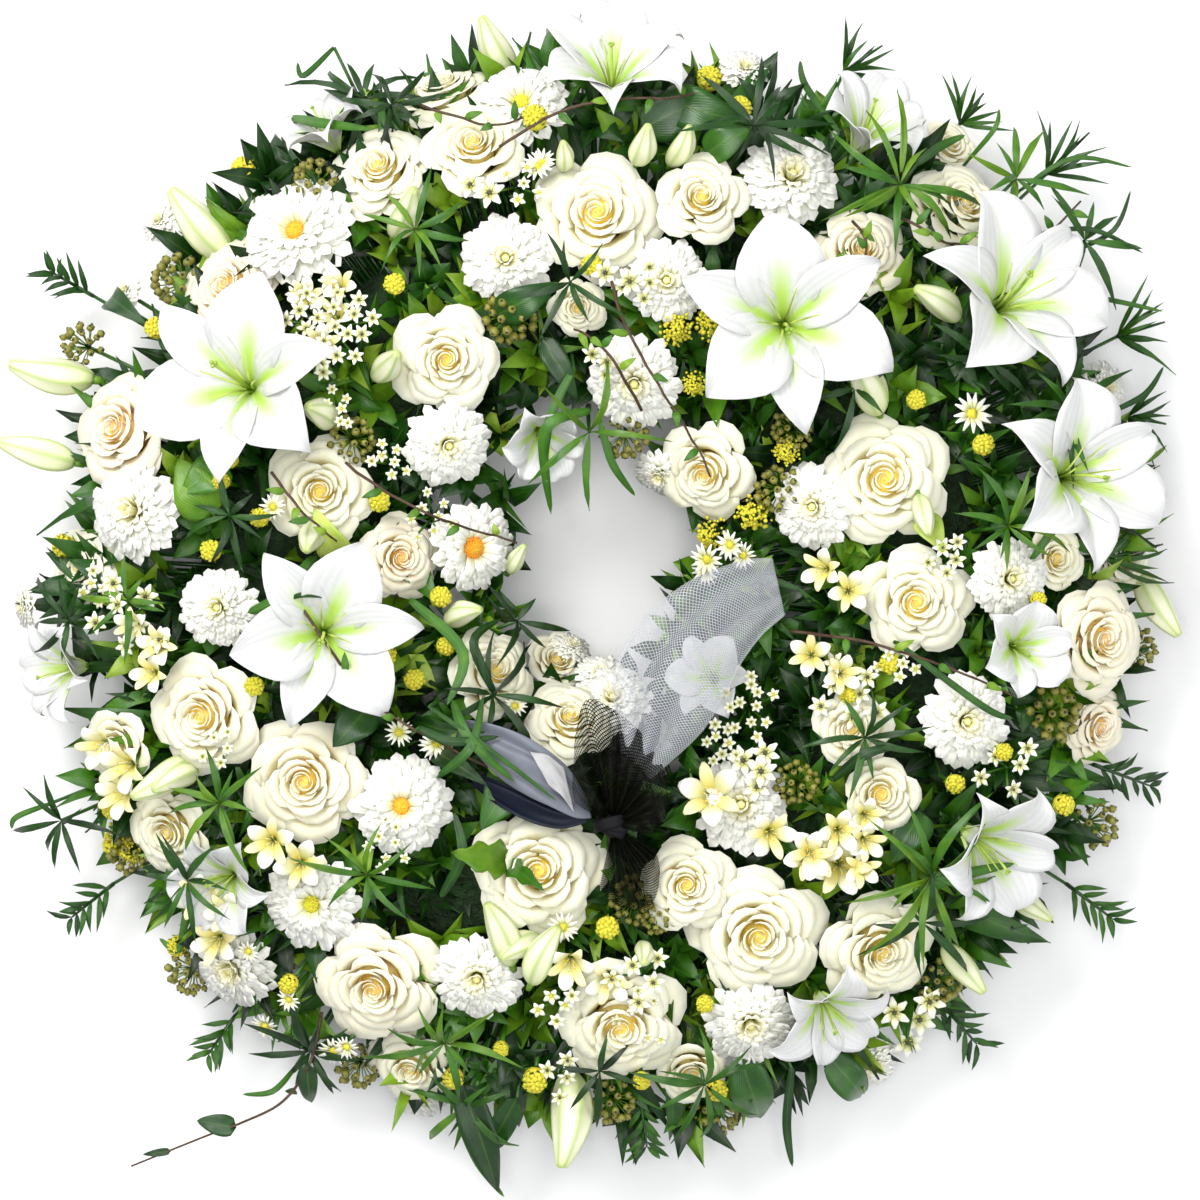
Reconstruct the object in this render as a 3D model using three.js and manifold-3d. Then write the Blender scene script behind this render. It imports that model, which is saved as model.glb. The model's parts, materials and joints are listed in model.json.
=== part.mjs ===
// A funeral wreath lying face up. A foam ring sits in a plastic tray, beds of leaves cover the foam,
// and roses, lilies, chrysanthemums and small flowers stand in it on their own stems, with a bow.
// Millimetres, +Z up, the origin on the table under the middle of the ring.
import * as THREE from "three";
import { mergeVertices } from "three/addons/utils/BufferGeometryUtils.js";
import Module from "manifold-3d";

const wasm = await Module();
wasm.setup();

// Driving dimensions.
// The plan is the wreath seen face on: a square of 1200 units, x to the right and y down.
const PLAN_UNIT = 0.65;
const PLAN_CENTRE = { x: 600, y: 590 };
const RING = { inner: 140, outer: 250, sides: 20 };
const TRAY = { height: 22, wall: 2.2, gap: 0.3 };
const FOAM = { top: 62, chamfer: 14, sides: 12 };
FOAM.inside = (RING.inner + TRAY.gap) / Math.cos(Math.PI / FOAM.sides);
FOAM.outside = RING.outer * Math.cos(Math.PI / RING.sides) - TRAY.gap;
const BED = {
  top: 69,
  side: 8,
  foot: 42,
  count: 6,
  split: 0.6,
  start: -20,
  rootOut: 243.2,
  rootIn: 148.6,
  rootHeight: 55,
};
const FACE = { middle: 196, halfWidth: 148, edgeHeight: 60, rise: 70, lean: 36 };
const STEM = { radius: 2.2, end: 1.5, room: 0.75, bendRoom: 0.6, depth: 30, inset: 20 };
const FORK = { height: 77, radius: 4.4, tip: 1.8, sideHeight: 38, sideEnd: 28, reach: 22, slant: 18 };
const GAP = 0.5;
const PACKED = 0.95;

const COLOURS = {
  tray: 0x1f3d22,
  foam: 0x3f6b38,
  leaves: 0x2c6a26,
  rose: 0xf3e8c9,
  lily: 0xf7f6f0,
  chrysanthemum: 0xf3f1da,
  bow: 0x17171a,
  bow_net: 0xd9d9d8,
  bow_tail: 0x76849a,
};

// Helpers for closed bodies.
const radians = (degrees) => (degrees * Math.PI) / 180;
const point = (x, y, z) => new THREE.Vector3(x, y, z);

/** The closed solid of a three.js geometry. */
function solidOf(geometry) {
  const bare = new THREE.BufferGeometry();
  bare.setAttribute("position", geometry.getAttribute("position"));
  bare.setIndex(geometry.getIndex());
  const merged = mergeVertices(bare, 1e-3);
  const corners = merged.index.array;
  const kept = [];
  for (let i = 0; i < corners.length; i += 3) {
    const [a, b, c] = [corners[i], corners[i + 1], corners[i + 2]];
    if (a !== b && b !== c && a !== c) kept.push([a, b, c]);
  }
  const vertices = merged.attributes.position.array;
  const make = (triangles) =>
    new wasm.Manifold(
      new wasm.Mesh({
        numProp: 3,
        vertProperties: vertices,
        triVerts: new Uint32Array(triangles.flat()),
      }),
    );
  const made = make(kept);
  return made.volume() > 0 ? made : make(kept.map(([a, b, c]) => [a, c, b]));
}

/**
 * A closed body through rings of points, which may differ in their number of points.
 * A ring of one point is a pole, and an open end gets a flat cap.
 */
function loft(rings) {
  const positions = [];
  const triangles = [];
  const starts = rings.map((row) => {
    const start = positions.length / 3;
    for (const p of row) positions.push(p.x, p.y, p.z);
    return start;
  });
  const at = (row, i) => starts[row] + (i % rings[row].length);
  for (let row = 0; row < rings.length - 1; row++) {
    const [near, far] = [rings[row].length, rings[row + 1].length];
    let [i, j] = [0, 0];
    while (i < near || j < far) {
      const onFar = i >= near || (j < far && (j + 1) / far <= (i + 1) / near);
      if (onFar && far > 1) triangles.push(at(row, i), at(row + 1, j + 1), at(row + 1, j));
      if (!onFar && near > 1) triangles.push(at(row, i), at(row, i + 1), at(row + 1, j));
      if (onFar) j++;
      else i++;
    }
  }
  const last = rings.length - 1;
  for (let i = 1; i < rings[0].length - 1; i++) {
    triangles.push(at(0, 0), at(0, i + 1), at(0, i));
  }
  for (let i = 1; i < rings[last].length - 1; i++) {
    triangles.push(at(last, 0), at(last, i), at(last, i + 1));
  }
  const geometry = new THREE.BufferGeometry();
  geometry.setAttribute("position", new THREE.Float32BufferAttribute(positions, 3));
  geometry.setIndex(triangles);
  return solidOf(geometry);
}

/** A ring of points round the local +Z axis; wave(i) gives each point's share of radius and its rise. */
function ring(sides, radius, height, wave = () => [1, 0], turn = 0) {
  return Array.from({ length: sides }, (_, i) => {
    const [share, rise] = wave(i);
    const angle = ((i + turn) / sides) * 2 * Math.PI;
    const reach = radius * share;
    return point(Math.cos(angle) * reach, Math.sin(angle) * reach, height + rise);
  });
}

/** A closed profile of [radius, height] points turned all the way round the +Z axis. */
function turned(profile, sides = RING.sides) {
  const outline = [...profile, profile[0]].map(([r, z]) => new THREE.Vector2(r, z));
  return solidOf(new THREE.LatheGeometry(outline, sides).rotateX(Math.PI / 2));
}

/** A straight rod between two points with its own radius at each, three-sided unless told. */
function rod(from, fromRadius, to, toRadius, sides = 3) {
  const direction = to.clone().sub(from).normalize();
  const side = point(-direction.y, direction.x, 0);
  if (side.length() < 0.1) side.set(1, 0, 0);
  side.normalize();
  const other = direction.clone().cross(side);
  const round = (centre, reach) =>
    ring(sides, reach, 0, undefined, 0.25).map((p) =>
      centre.clone().addScaledVector(side, p.x).addScaledVector(other, p.y),
    );
  return loft([round(from, fromRadius), round(to, toRadius)]);
}

// Where things stand.
/** Where a plan position lies, in the part's frame. */
function planPoint(x, y, z) {
  return point((x - PLAN_CENTRE.x) * PLAN_UNIT, (PLAN_CENTRE.y - y) * PLAN_UNIT, z);
}

/** How far out of the ring's middle line a plan point lies, from -1 at the hole to 1 at the rim. */
function outwardness(x, y) {
  const p = planPoint(x, y, 0);
  const share = (Math.hypot(p.x, p.y) - FACE.middle) / FACE.halfWidth;
  return THREE.MathUtils.clamp(share, -1, 1);
}

/** The place and the lean of a flower whose face is centred on plan point x, y. */
function seat(x, y, { lift = 0, lean, toward, spin = 0 } = {}) {
  const out = outwardness(x, y);
  const height = FACE.edgeHeight + FACE.rise * Math.sqrt(1 - out * out) + lift;
  const at = planPoint(x, y, height);
  const outward = THREE.MathUtils.radToDeg(Math.atan2(at.y, at.x));
  const tilt = lean ?? FACE.lean * out;
  const heading = toward ?? outward;
  const turn = new THREE.Matrix4().makeRotationZ(radians(heading));
  turn.multiply(new THREE.Matrix4().makeRotationY(radians(tilt)));
  turn.multiply(new THREE.Matrix4().makeRotationZ(radians(spin - heading)));
  return turn.setPosition(at);
}

/** A point at a radius and a height, in the direction of a plan position. */
function outFrom(x, y, radius, height) {
  return planPoint(x, y, 0).normalize().multiplyScalar(radius).setZ(height);
}

/** The fork over a plan position, and the point in the foam where its stalk ends. */
function forkAt(x, y) {
  const reach = planPoint(x, y, 0).length();
  const [low, high] = [RING.inner + STEM.inset, RING.outer - STEM.inset];
  const held = THREE.MathUtils.clamp(reach, low, high);
  if (reach > RING.outer + 14) {
    const joint = outFrom(x, y, RING.outer + FORK.reach, FORK.sideHeight);
    return { joint, end: outFrom(x, y, high - 6, FORK.sideEnd), side: 1 };
  }
  if (reach < RING.inner - 6) {
    const joint = outFrom(x, y, RING.inner - FORK.reach, FORK.sideHeight);
    return { joint, end: outFrom(x, y, low + 6, FORK.sideEnd), side: -1 };
  }
  return { joint: outFrom(x, y, held, FORK.height), end: outFrom(x, y, held, STEM.depth) };
}

const placed = (points, matrix) => points.map((p) => p.clone().applyMatrix4(matrix));
const middleOf = (points) =>
  points.reduce((sum, p) => sum.add(p), point(0, 0, 0)).divideScalar(points.length);

/** The three-sided sections of a stem through a list of points, mitred at its bends. */
function sections(points, radii, start = point(1, 0, 0)) {
  let side = start;
  return points.map((p, i) => {
    const before = points[Math.max(i - 1, 0)];
    const after = points[Math.min(i + 1, points.length - 1)];
    const incoming = i ? p.clone().sub(before).normalize() : point(0, 0, 0);
    const outgoing = p === after ? point(0, 0, 0) : after.clone().sub(p).normalize();
    const direction = incoming.add(outgoing).normalize();
    if (Math.abs(side.dot(direction)) > 0.95) side = point(0, 1, 0);
    side = side.clone().addScaledVector(direction, -side.dot(direction)).normalize();
    const other = side.clone().cross(direction);
    return ring(3, radii[i], 0).map((q) =>
      p.clone().addScaledVector(side, q.x).addScaledVector(other, q.y),
    );
  });
}

const tube = (points, radii) => loft(sections(points, radii));

/** A stem from its top to its end, as its sections and as the room round it. */
function stemThrough(points, endRadius, start) {
  const last = points.length - 1;
  const radii = points.map((_, i) => (i === last ? endRadius : STEM.radius));
  const past = points[last].clone().sub(points[last - 1]).setLength(1);
  const reaching = [...points.slice(0, last), past.add(points[last])];
  const atBend = (i) => (i > 0 && i < last ? STEM.bendRoom : 0);
  const wide = radii.map((radius, i) => radius + STEM.room + atBend(i));
  return { rows: sections(points, radii, start), room: loft(sections(reaching, wide, start)) };
}

/** The points of a stem from a flower's foot to its end, bent under the flower where it slants far. */
function stemPath(foot, { end, forked }) {
  const aside = Math.hypot(foot.x - end.x, foot.y - end.y);
  if (forked && foot.z > end.z + 12 && aside > FORK.slant) {
    return [foot, foot.clone().setZ(end.z + 4), end];
  }
  return [foot, end];
}

/**
 * A flower's body on its stem. rows are rings from its calyx to its face, and coarse rows bound them,
 * both in the flower's own frame; its foot lies depth below its face. A stem alone runs to its own
 * end in the foam, and a forked one joins a stalk.
 */
function head(matrix, depth, rows, coarse, stem) {
  const body = rows.map((row) => placed(row, matrix));
  const foot = point(0, 0, -depth).applyMatrix4(matrix);
  const start = body[0][0].clone().sub(middleOf(body[0])).normalize();
  const held = stemThrough(stemPath(foot, stem), STEM.end, start);
  return {
    solid: loft([...held.rows.reverse(), ...body]),
    rooms: [loft(coarse.map((row) => placed(row, matrix))), held.room],
  };
}

/**
 * A thin blade along its stations: a keeled section of three points, and a point at both ends.
 * Grown, it is the flat room round that blade.
 */
function blade(stations, grow = 0) {
  const last = stations.length - 1;
  const past = (p, inner) => p.clone().sub(inner).setLength(grow * 4).add(p);
  return loft(
    stations.map(({ p, across, normal, width, thick }, i) => {
      if (i === 0) return [past(p, stations[1].p)];
      if (i === last) return [past(p, stations[last - 1].p)];
      const at = (x, z) => p.clone().addScaledVector(across, x).addScaledVector(normal, z);
      const [half, under] = [width / 2 + grow, -thick - grow];
      if (!grow) return [at(half, 0), at(-half, 0), at(0, under)];
      return [at(half, grow), at(-half, grow), at(-half, under), at(half, under)];
    }),
  );
}

/** Stations along a path, with the sides of the blade along one direction. */
function stationsOf(path, across, upward, widths, thicks) {
  return path.map((p, i) => {
    const before = path[Math.max(i - 1, 0)];
    const after = path[Math.min(i + 1, path.length - 1)];
    const direction = after.clone().sub(before).normalize();
    const normal = direction.clone().cross(across).normalize();
    if (normal.dot(upward) < 0) normal.negate();
    return { p, across, normal, width: widths[i], thick: thicks[i] };
  });
}

// Roses: four petals to a layer, each layer's rim over the notches of the one below.
const petalled = (offset, notch, drop) => (i) =>
  (i + offset) % 2 ? [notch, -drop] : [1, 0];

/** Rows that bound a round head: its foot, its widest part and its face, as shares of its size. */
function barrel(size, foot, depth, wide, face) {
  return [
    ring(8, foot * size + GAP, -depth * size - GAP * 2),
    ring(8, (wide + 0.012) * size + GAP * 2, -0.25 * size),
    ring(8, face * size + GAP * 2, GAP * 2),
  ];
}

function rose(matrix, size, { open = 1, sides = 8, plain = size < 57 }, stem) {
  const s = size;
  const rows = [
    ring(sides, 0.5 * open * s, -0.2 * s, petalled(0, 0.86, 0.06 * s)),
    ring(sides, 0.385 * s, -0.03 * s, petalled(1, 0.88, 0.05 * s), 0.3),
    ...(plain ? [] : [ring(6, 0.24 * s, -0.05 * s, petalled(0, 0.66, 0.05 * s), 0.6)]),
    [point(0, 0, (plain ? -0.16 : -0.02) * s)],
  ];
  const coarse = barrel(s, 0.06, 0.66, 0.5 * open, 0.44 * open);
  return head(matrix, 0.66 * s, rows, coarse, stem);
}

// Chrysanthemums: rows of florets, larger than life, each row over the gaps of the one below.
function chrysanthemum(matrix, size, { sides = 10 }, stem) {
  const s = size;
  const rows = [
    ring(sides, 0.5 * s, -0.2 * s, petalled(0, 0.8, 0.04 * s)),
    ring(sides, 0.3 * s, -0.02 * s, petalled(1, 0.72, 0.06 * s)),
    [point(0, 0, -0.01 * s)],
  ];
  return head(matrix, 0.4 * s, rows, barrel(s, 0.06, 0.4, 0.5, 0.42), stem);
}

// Lilies: six blades on a slim tube, the three outer ones narrower, and the style in the throat.
const TEPAL = {
  path: [
    [0.01, -0.56],
    [0.42, -0.1],
    [0.78, 0.02],
    [1, -0.08],
  ],
  width: [0, 0.34, 0.46, 0],
  thick: [0, 2.2, 2, 0],
};
const SMALL_TEPAL = {
  path: [
    [0.01, -0.56],
    [0.62, -0.02],
    [1, -0.04],
  ],
  width: [0, 0.46, 0],
  thick: [0, 2.2, 0],
};

function tepal(matrix, reach, angle, broad, cup) {
  const shape = reach > 50 ? TEPAL : SMALL_TEPAL;
  const a = radians(angle);
  const turn = new THREE.Matrix4().extractRotation(matrix);
  const across = point(-Math.sin(a), Math.cos(a), 0).applyMatrix4(turn);
  const axis = point(0, 0, 1).applyMatrix4(turn);
  const path = shape.path.map(([r, z]) => {
    const out = r * reach * (1 - cup * 0.35 * r);
    const rise = (z + cup * r * 0.55) * reach;
    return point(Math.cos(a) * out, Math.sin(a) * out, rise).applyMatrix4(matrix);
  });
  const widths = shape.width.map((width) => width * reach * broad);
  return stationsOf(path, across, axis, widths, shape.thick);
}

function lily(matrix, size, { cup = 0 }, stem) {
  const reach = size / 2;
  const rows = [ring(3, 0.12 * reach, -0.48 * reach)];
  const coarse = [
    ring(3, 4.8, -0.84 * reach - GAP),
    ring(3, 0.12 * reach + GAP * 2, -0.48 * reach + GAP * 2),
  ];
  const core = head(matrix, 0.84 * reach, rows, coarse, stem);
  const petals = [0, 1, 2, 3, 4, 5].map((i) =>
    tepal(matrix, reach * (i % 2 ? 1 : 0.97), i * 60, i % 2 ? 1 : 0.76, cup),
  );
  const solid = wasm.Manifold.union([core.solid, ...petals.map((p) => blade(p))]);
  return { solid, rooms: [...core.rooms, ...petals.map((p) => blade(p, GAP))] };
}

// Lily buds: six-ribbed spindles, thickest near the middle, closed to a point.
function lilyBud(matrix, length, { fat = 0.36 }, stem) {
  const wide = fat * length;
  const rows = [
    ring(6, wide * 0.46, -0.1 * length, petalled(0, 0.84, 0)),
    ring(6, wide * 0.4, 0.24 * length, petalled(0, 0.84, 0)),
    [point(0, 0, 0.5 * length)],
  ];
  const coarse = [
    ring(6, 3 + GAP, -0.5 * length - GAP),
    ring(6, wide * 0.46 + GAP * 1.5, -0.1 * length),
    ring(6, wide * 0.42 + GAP * 1.5, 0.24 * length),
    ring(6, GAP * 2, 0.5 * length + GAP),
  ];
  return head(matrix, 0.5 * length, rows, coarse, stem);
}

// Buttons: the small yellow flowers that are still closed.
function button(matrix, size, where, stem) {
  const rows = [
    ring(6, 0.5 * size, -0.25 * size, petalled(0, 0.86, 0.05 * size)),
    [point(0, 0, 0)],
  ];
  const coarse = [
    ring(6, 2.9 + GAP, -0.62 * size - GAP),
    ring(6, 0.5 * size + GAP * 1.5, -0.3 * size),
    ring(6, 0.3 * size, GAP * 2),
  ];
  return head(matrix, 0.62 * size, rows, coarse, stem);
}

// Star flowers: pointed tepals round a raised middle.
function star(matrix, size, { points = 6, notch = 0.42 }, stem) {
  const rows = [
    ring(points * 2, 0.5 * size, 0, petalled(0, notch, 0.06 * size)),
    [point(0, 0, 0.05 * size)],
  ];
  const coarse = [
    ring(points, 3.4, -0.3 * size - GAP * 2),
    ring(points, 0.5 * size + GAP * 2, -GAP * 2),
    ring(points, 0.5 * size + GAP, GAP * 2),
  ];
  return head(matrix, 0.3 * size, rows, coarse, stem);
}

/** Star flowers round a middle one, on short stems from the middle one's stem. */
function cluster(matrix, size, where, stem) {
  const { count = 3, across = 0, turn = 0 } = where;
  const made = [star(matrix, size, where, stem)];
  const foot = point(0, 0, -0.3 * size).applyMatrix4(matrix);
  const path = stemPath(foot, stem);
  const down = path[1].clone().sub(foot).normalize();
  for (let i = 1; i < count; i++) {
    const reach = across * 0.5 * PLAN_UNIT;
    const angle = radians((i * 360) / (count - 1) + turn);
    const own = new THREE.Matrix4().makeRotationZ(radians(i * 50));
    own.setPosition(Math.cos(angle) * reach, Math.sin(angle) * reach, -0.2 * reach);
    own.premultiply(matrix);
    const branch = foot.clone().addScaledVector(down, 2 + i * 3.5);
    made.push(star(own, size, where, { end: branch, forked: false }));
  }
  return {
    solid: wasm.Manifold.union(made.map((part) => part.solid)),
    rooms: made.flatMap((part) => part.rooms),
  };
}

// Heads of berries and of golden spikes: knobs raised in rows from a round core.
function knobbed(matrix, size, { sides = 6, tall = 1 }, stem) {
  const half = size / 2;
  const rows = [
    ring(sides, half, -0.95 * tall * half, petalled(0, 0.74, 0)),
    ring(sides, 0.68 * half, -0.15 * tall * half, petalled(1, 0.74, 0)),
    [point(0, 0, 0)],
  ];
  const coarse = [
    ring(6, 3 + GAP, -1.7 * tall * half - GAP),
    ring(6, half + GAP * 3, -1.05 * tall * half),
    ring(6, 0.78 * half + GAP * 2, GAP * 2),
  ];
  return head(matrix, 1.7 * tall * half, rows, coarse, stem);
}

// What stands in the wreath, by plan position. Sizes are in plan units, lifts in millimetres.
// Lower ranks are placed first, and what is placed later is cut clear of them.
const RANK = { bow: 0, lily: 1, small: 2, rose: 3, chrysanthemum: 4, leaf: 5, core: 6 };
const item = (make, rank) => (x, y, size, where = {}) => ({ make, rank, x, y, size, where });
const R = (x, y, size, where) => item(rose, RANK.rose)(x, y, size * PACKED, where);
const C = (x, y, size, where) =>
  item(chrysanthemum, RANK.chrysanthemum)(x, y, size * PACKED, where);
const L = (x, y, size, where) => item(lily, RANK.lily)(x, y, size, { lift: 24, ...where });
const B = item(lilyBud, RANK.small);
const Y = item(button, RANK.small);
const G = item(knobbed, RANK.small);

const F = (x, y, across, count, size, where = {}) =>
  item(cluster, RANK.small)(x, y, size, { lift: 4, ...where, across, count });
const A = (x, y, size, where) =>
  item(star, RANK.small)(x, y, size, { points: 5, notch: 0.7, ...where });

const SPRAYS = {
  lily_01: [
    L(256, 392, 205, { spin: 20 }),
    B(335, 425, 66, { lean: 20 }),
    B(398, 378, 62, { lean: 30, toward: 40 }),
  ],
  lily_02: [L(343, 630, 190, { spin: 10 }), B(470, 615, 56, { lean: 40, toward: 20 })],
  lily_03: [L(775, 338, 215, { spin: 40 }), B(850, 395, 80, { lean: 50, toward: 120 })],
  lily_04: [
    L(612, 82, 170, { lean: 40, lift: 16, spin: 30, cup: 0.3 }),
    B(500, 60, 70, { lean: 60, toward: 120 }),
    B(565, 178, 44, { lean: 30, toward: 90 }),
    B(676, 168, 56, { lean: 40, toward: 60 }),
  ],
  lily_05: [L(862, 140, 140, { lean: 46, lift: 12, spin: 10, cup: 0.5 })],
  lily_06: [L(1003, 305, 205, { spin: 50 }), B(920, 318, 66, { lean: 50, toward: 150 })],
  lily_07: [
    L(1062, 478, 190, { spin: 35, lift: 28 }),
    L(1000, 645, 120, { spin: 20, cup: 0.5, lift: 12 }),
    B(1146, 605, 74, { lean: 70, toward: -60, lift: -4 }),
  ],
  lily_09: [L(975, 838, 165, { lean: 42, lift: 20, cup: 0.4 })],
  lily_10: [L(72, 668, 120, { lean: 50, lift: 10, cup: 0.3 })],
  lily_11: [
    L(822, 1002, 130, { lean: 44, lift: 0, spin: 25 }),
    B(950, 955, 64, { lean: 60, toward: -50 }),
    B(1015, 892, 56, { lean: 60, toward: -40 }),
  ],
  lily_12: [L(238, 872, 120, { lean: 30, lift: 2, cup: 0.4 }), B(195, 772, 60, { lean: 40 })],
  lily_13: [L(545, 448, 105, { lean: -30, lift: -4, cup: 0.5 })],
  lily_15: [
    L(330, 138, 110, { lean: 62, lift: 0, cup: 0.4 }),
    B(212, 235, 90, { lean: 75, toward: 130, lift: -2 }),
    B(414, 232, 70, { lean: 40, toward: 60 }),
  ],
  lily_16: [
    B(525, 930, 60, { lean: 40, toward: 200 }),
    B(640, 935, 44, { lean: 20 }),
    B(567, 1100, 96, { lean: 70, toward: -95 }),
    F(592, 962, 60, 2, 46, { turn: 40 }),
    A(565, 910, 30),
  ],
  rose_01: [
    R(443, 93, 88, { lean: 56, lift: -8 }),
    R(478, 160, 85, { open: 0.86, lean: 24 }),
    R(385, 180, 88, { lift: -8 }),
  ],
  rose_02: [
    R(597, 230, 112, { open: 1.08 }),
    R(697, 215, 78, { open: 0.86 }),
    R(579, 322, 50, { lift: -8 }),
  ],
  rose_03: [R(957, 212, 92), R(853, 262, 82, { lift: -14 })],
  rose_04: [R(236, 295, 86, { lift: -12 })],
  rose_05: [
    R(128, 433, 95),
    B(66, 378, 84, { lean: 80, toward: 170, lift: 4 }),
    B(52, 456, 78, { lean: 80, toward: 165, lift: 6 }),
  ],
  rose_06: [R(455, 373, 92)],
  rose_07: [R(335, 497, 95)],
  rose_08: [
    R(870, 485, 110),
    R(900, 602, 95),
    R(838, 722, 64, { open: 0.9 }),
    R(867, 785, 64, { open: 0.7 }),
  ],
  rose_09: [
    R(1088, 638, 95, { lift: 2 }),
    R(1088, 724, 60, { lift: -12, sides: 6 }),
    R(1118, 556, 66, { lift: -16, sides: 6 }),
  ],
  rose_10: [
    R(217, 712, 98),
    R(318, 773, 105),
    R(180, 826, 76, { lift: -8, open: 0.86 }),
    G(118, 842, 46, { lift: -6, tall: 0.7 }),
  ],
  rose_11: [R(542, 857, 115)],
  rose_12: [
    R(752, 922, 112),
    R(872, 940, 100, { lift: -2 }),
    R(682, 870, 80, { open: 1.06, lift: 4 }),
  ],
  rose_13: [R(382, 975, 105), R(415, 1060, 78, { lift: -16, sides: 6 })],
  rose_14: [R(620, 1012, 110), Y(700, 985, 20), Y(713, 1074, 24)],
  rose_15: [R(697, 483, 86)],
  rose_16: [
    R(503, 665, 76),
    R(572, 708, 76, { lift: -2 }),
    Y(455, 643, 22),
    Y(425, 675, 24),
    A(443, 737, 30),
    A(410, 725, 28),
  ],
  rose_17: [R(412, 560, 70, { lift: -12, sides: 6 })],
  chrysanthemum_01: [
    C(303, 240, 105),
    Y(250, 176, 28),
    C(133, 297, 38, { sides: 8 }),
    Y(170, 337, 24),
  ],
  chrysanthemum_02: [C(523, 115, 86), A(540, 187, 30)],
  chrysanthemum_03: [
    C(510, 275, 84),
    Y(405, 300, 24),
    F(618, 300, 36, 2, 30, { lift: 2 }),
    F(486, 216, 34, 2, 34, { turn: 90 }),
  ],
  chrysanthemum_04: [
    C(785, 190, 92),
    C(742, 76, 48, { sides: 8 }),
    Y(706, 94, 28),
    Y(737, 127, 22),
  ],
  chrysanthemum_05: [
    C(663, 297, 78),
    C(632, 397, 88),
    C(655, 485, 52, { sides: 8, lean: -48, lift: -10 }),
    G(706, 338, 44, { tall: 0.8 }),
    G(688, 398, 30, { lift: -2 }),
  ],
  chrysanthemum_06: [
    C(458, 455, 80),
    C(485, 552, 80),
    Y(392, 507, 24),
    Y(450, 597, 24),
  ],
  chrysanthemum_07: [
    C(147, 514, 92),
    C(33, 607, 40, { sides: 8, lean: 60 }),
    Y(75, 547, 26),
    R(90, 568, 70, { lift: -16, sides: 6 }),
  ],
  chrysanthemum_08: [
    C(235, 607, 74),
    Y(230, 553, 24),
    Y(277, 522, 22),
    Y(272, 682, 22),
    F(168, 642, 60, 3, 38),
  ],
  chrysanthemum_09: [
    C(993, 580, 76),
    C(950, 716, 86),
    Y(874, 660, 24),
    Y(938, 775, 22),
    Y(1048, 798, 24),
  ],
  chrysanthemum_10: [
    C(412, 795, 90),
    C(322, 893, 88),
    F(303, 846, 50, 2, 44, { turn: 100 }),
  ],
  chrysanthemum_11: [
    C(733, 793, 88),
    F(690, 780, 40, 1, 56),
    F(815, 852, 44, 2, 52, { turn: 30 }),
  ],
  chrysanthemum_12: [C(482, 962, 82), Y(537, 1063, 28), Y(458, 1062, 24)],
  chrysanthemum_13: [C(745, 1010, 86, { lift: -4 })],
  chrysanthemum_14: [
    C(238, 962, 86),
    Y(185, 940, 24),
    A(272, 1018, 30),
    A(340, 1040, 30, { lift: -8 }),
    Y(300, 970, 22),
  ],
  chrysanthemum_15: [
    C(612, 690, 72, { lean: -30, lift: -8 }),
    C(575, 640, 40, { sides: 8, lean: -60, lift: -14 }),
    L(704, 672, 100, { lean: -20, lift: -2, cup: 0.4 }),
  ],
  chrysanthemum_16: [
    C(1100, 390, 56, { sides: 8, lift: -10 }),
    Y(965, 452, 24),
    Y(900, 410, 22),
    A(955, 422, 40, { lift: -2 }),
  ],
  chrysanthemum_17: [
    C(800, 512, 78, { lift: -4 }),
    G(740, 520, 46, { lift: -2, tall: 0.7 }),
    A(700, 572, 30),
    A(735, 558, 28),
    F(822, 590, 50, 2, 42),
    F(815, 668, 50, 2, 40, { turn: 20 }),
  ],
  stars_01: [F(335, 330, 70, 4, 38)],
};

// Forks that stand aside from the middle of their flowers.
const FORKS = {
  chrysanthemum_06: [470, 520],
  chrysanthemum_07: [100, 545],
  lily_12: [235, 850],
  rose_05: [110, 425],
  rose_10: [230, 755],
  rose_16: [500, 690],
};

/** The parts of one spray: its flowers, and for several of them the stalk under their fork. */
function sprayParts(node, flowers) {
  const mean = (key) => flowers.reduce((sum, flower) => sum + flower[key], 0) / flowers.length;
  const { joint, end } = forkAt(...(FORKS[node] ?? [mean("x"), mean("y")]));
  const forked = flowers.length > 1;
  const parts = flowers.map(({ make, rank, x, y, size, where }) => {
    const stem = { end: forked ? joint : end, forked };
    const made = make(seat(x, y, where), size * PLAN_UNIT, where, stem);
    return { node, rank, label: `${make.name} ${Math.round(x)},${Math.round(y)}`, ...made };
  });
  if (forked) {
    const inward = end.clone().sub(joint).normalize();
    const top = joint.clone().addScaledVector(inward, -FORK.radius);
    const outside = top.clone().addScaledVector(inward, -GAP * 2);
    const past = end.clone().addScaledVector(inward, 1);
    const solid = tube([top, end], [FORK.radius, FORK.tip]);
    const rooms = [tube([outside, past], [FORK.radius + STEM.room, FORK.tip + STEM.room])];
    parts.push({ node, rank: RANK.lily, label: "stalk", solid, rooms });
  }
  return parts;
}

// Leaves.
/** A leaf from its root to its tip, bowed up between them, broad over one or two stations. */
function leaf(root, tip, width, bow = 0.12, broad = false) {
  const span = tip.clone().sub(root);
  const length = span.length();
  const across = point(-span.y, span.x, 0).normalize();
  const up = span.clone().cross(across).normalize();
  if (up.z < 0) up.negate();
  const at = (share, rise) =>
    root.clone().addScaledVector(span, share).addScaledVector(up, rise * length);
  if (!broad) {
    const path = [at(0, 0), at(0.45, bow), at(1, 0)];
    return stationsOf(path, across, up, [0, width, 0], [0, 1.6, 0]);
  }
  const path = [at(0, 0), at(0.34, bow), at(0.7, bow * 0.8), at(1, 0)];
  return stationsOf(path, across, up, [0, width, width * 0.82, 0], [0, 1.5, 1.3, 0]);
}

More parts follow.
